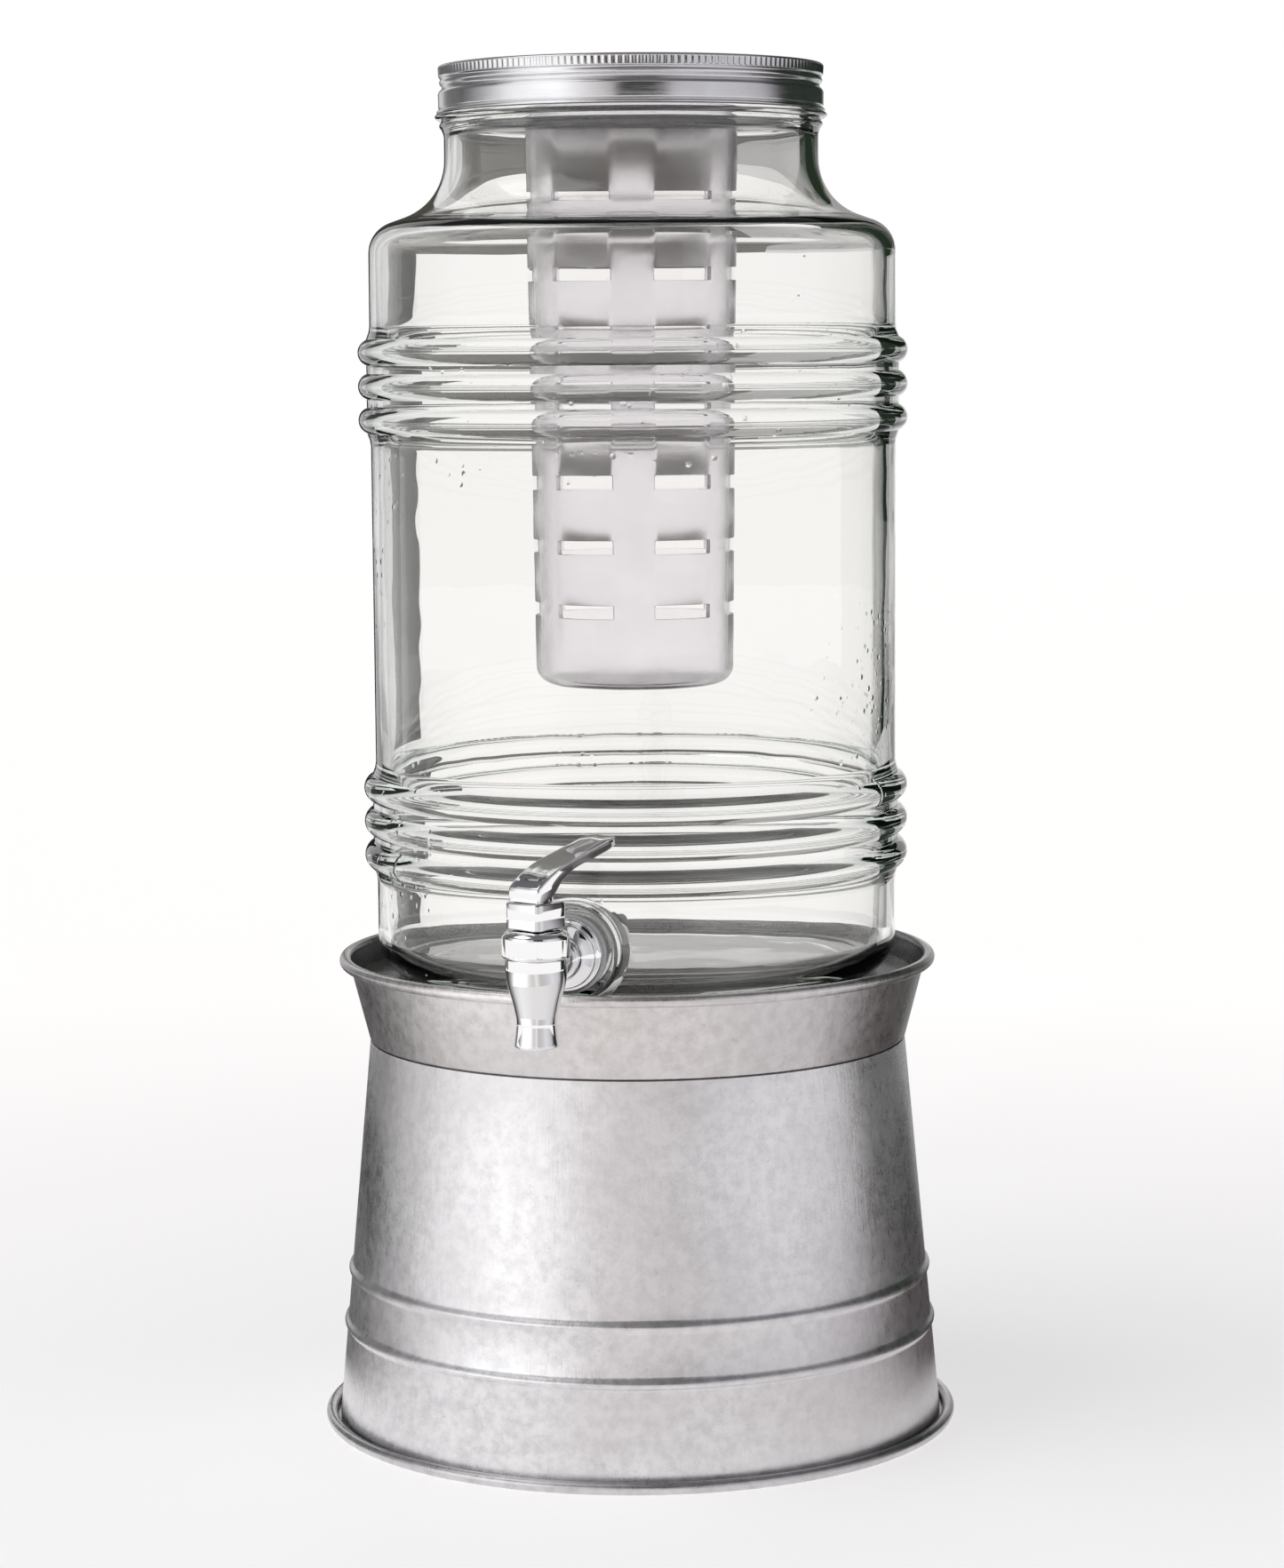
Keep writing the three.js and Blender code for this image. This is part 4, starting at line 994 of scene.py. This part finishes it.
SURROUND = (  # (turn from the front in degrees, to the right; colour of the room there)
    (-180, (0.98, 0.965, 0.96)), (-158, (0.98, 0.965, 0.96)), (-154, (0.05, 0.05, 0.05)),
    (-112, (0.05, 0.05, 0.05)), (-96, (0.22, 0.22, 0.225)), (-80, (0.55, 0.55, 0.55)),
    (-64, (1.20, 1.20, 1.20)), (-28, (1.45, 1.45, 1.44)), (-10, (0.80, 0.78, 0.78)),
    (2, (0.66, 0.62, 0.60)), (12, (0.84, 0.82, 0.82)), (24, (0.56, 0.53, 0.52)),
    (40, (0.58, 0.57, 0.59)), (64, (0.74, 0.74, 0.76)), (84, (0.64, 0.63, 0.66)),
    (100, (0.50, 0.49, 0.51)), (112, (0.08, 0.07, 0.07)), (158, (0.04, 0.05, 0.045)),
    (164, (0.42, 0.42, 0.42)), (176, (0.42, 0.42, 0.42)), (180, (0.98, 0.965, 0.96)),
)
LOW_CARD = (  # the same for the card on the floor, which only metal and glass pick up
    (-180, (0.9, 0.89, 0.88)), (-156, (0.8, 0.79, 0.78)), (-148, (0.10, 0.10, 0.10)),
    (-104, (0.14, 0.14, 0.14)), (-86, (0.36, 0.35, 0.35)), (-66, (0.74, 0.73, 0.73)),
    (-40, (0.92, 0.91, 0.91)), (0, (0.80, 0.78, 0.77)), (40, (0.78, 0.76, 0.76)),
    (84, (0.66, 0.64, 0.65)), (102, (0.34, 0.32, 0.33)), (118, (0.06, 0.045, 0.045)),
    (156, (0.05, 0.045, 0.045)), (170, (0.6, 0.59, 0.58)), (180, (0.9, 0.89, 0.88)),
)


BACKDROP = (0.98, 0.965, 0.96)  # what the glass sees behind the cards
CEILING = (0.14, 0.14, 0.15)
CEILING_START, CEILING_FULL = 0.45, 0.75  # upward part of the direction where it takes over


def bearing_colours(nodes, links, place, stops):
    """Colours set by the bearing of a place from the front, blended between the stops."""
    split = nodes.new("ShaderNodeSeparateXYZ")
    links.new(place, split.inputs["Vector"])
    front = nodes.new("ShaderNodeMath")
    front.operation = "MULTIPLY"
    links.new(split.outputs["Y"], front.inputs[0])
    front.inputs[1].default_value = -1
    bearing = nodes.new("ShaderNodeMath")
    bearing.operation = "ARCTAN2"
    links.new(split.outputs["X"], bearing.inputs[0])
    links.new(front.outputs["Value"], bearing.inputs[1])
    share = nodes.new("ShaderNodeMapRange")
    share.inputs["From Min"].default_value = -math.pi
    share.inputs["From Max"].default_value = math.pi
    links.new(bearing.outputs["Value"], share.inputs["Value"])
    ramp = nodes.new("ShaderNodeValToRGB")
    elements = ramp.color_ramp.elements
    while len(elements) < len(stops):
        elements.new(0.5)
    for element, (degrees, colour) in zip(elements, stops):
        element.position = (degrees + 180) / 360
        element.color = (*colour, 1)
    links.new(share.outputs["Result"], ramp.inputs["Fac"])
    return ramp.outputs["Color"]


def low_card(name, inner, outer, stops):
    """A ring of card round the foot, bright before it and dark at its sides."""
    mesh = turned([(inner, 1), (outer, 1), (outer, 1.5), (inner, 1.5)], 64)
    card = as_object(mesh, name)
    paint = Finish(name, Base_Color=(0, 0, 0, 1), Specular_IOR_Level=0.0)
    colours = bearing_colours(paint.tree.nodes, paint.tree.links, paint.place, stops)
    paint.into("Emission Color", colours)
    paint.shader.inputs["Emission Strength"].default_value = 1.0
    card.data.materials.append(paint.material)
    card.visible_camera = False
    card.visible_diffuse = False
    card.visible_shadow = False
    card.visible_transmission = False


def studio_light():
    """A white backdrop, a room bright on the left and grey on the right, and a dark ceiling."""
    world = bpy.data.worlds.new("studio")
    bpy.context.scene.world = world
    world.use_nodes = True
    nodes, links = world.node_tree.nodes, world.node_tree.links
    background = nodes["Background"]
    place = nodes.new("ShaderNodeTexCoord")
    split = nodes.new("ShaderNodeSeparateXYZ")
    links.new(place.outputs["Generated"], split.inputs["Vector"])

    def blended(factor, a, b):
        made = nodes.new("ShaderNodeMix")
        made.data_type = "RGBA"
        links.new(factor, made.inputs[0])
        for socket, value in ((made.inputs[6], a), (made.inputs[7], b)):
            if isinstance(value, tuple):
                socket.default_value = (*value, 1)
            else:
                links.new(value, socket)
        return made.outputs[2]

    colours = bearing_colours(nodes, links, place.outputs["Generated"], SURROUND)
    height = nodes.new("ShaderNodeMapRange")
    height.inputs["From Min"].default_value = CEILING_START
    height.inputs["From Max"].default_value = CEILING_FULL
    links.new(split.outputs["Z"], height.inputs["Value"])
    room = blended(height.outputs["Result"], colours, CEILING)
    path = nodes.new("ShaderNodeLightPath")
    through = blended(path.outputs["Is Transmission Ray"], room, BACKDROP)
    seen = blended(path.outputs["Is Camera Ray"], through, (1.0, 1.0, 1.0))
    links.new(seen, background.inputs["Color"])
    world.cycles.sampling_method = "MANUAL"
    world.cycles.sample_map_resolution = 1024

    lamp = bpy.data.lights.new("softbox", "AREA")
    lamp.shape = "RECTANGLE"
    lamp.size, lamp.size_y = 1.4, 1.0
    lamp.energy = 5
    softbox = bpy.data.objects.new("softbox", lamp)
    softbox.location = (-0.9, -0.5, 1.9)
    softbox.rotation_euler = (Vector((0, 0, 0.25)) - softbox.location).to_track_quat("-Z", "Y").to_euler()
    bpy.context.scene.collection.objects.link(softbox)


def front_camera():
    """Looks at the dispenser from a little to its right, level with the top of the jar."""
    turned_by, distance, height = math.radians(13.5), 1.520, 0.405
    pitch, aside, roll = math.radians(3.58), math.radians(0.107), math.radians(-0.42)
    data = bpy.data.cameras.new("front")
    data.sensor_width = 36
    data.lens = 93
    data.shift_y = -0.12
    data.clip_start, data.clip_end = 0.05, 50
    camera = bpy.data.objects.new("front", data)
    camera.location = (
        distance * math.sin(turned_by), -distance * math.cos(turned_by), height
    )
    camera.rotation_euler = (
        Matrix.Rotation(turned_by - aside, 4, "Z")
        @ Matrix.Rotation(math.pi / 2 - pitch, 4, "X")
        @ Matrix.Rotation(roll, 4, "Z")
    ).to_euler()
    bpy.context.scene.collection.objects.link(camera)
    bpy.context.scene.camera = camera


studio_floor()
studio_panels()
low_card("studio_near_card", 150, 450, LOW_CARD)
low_card("studio_far_card", 450, 1100, SURROUND)
studio_light()
front_camera()
bpy.context.scene.view_settings.view_transform = "Standard"
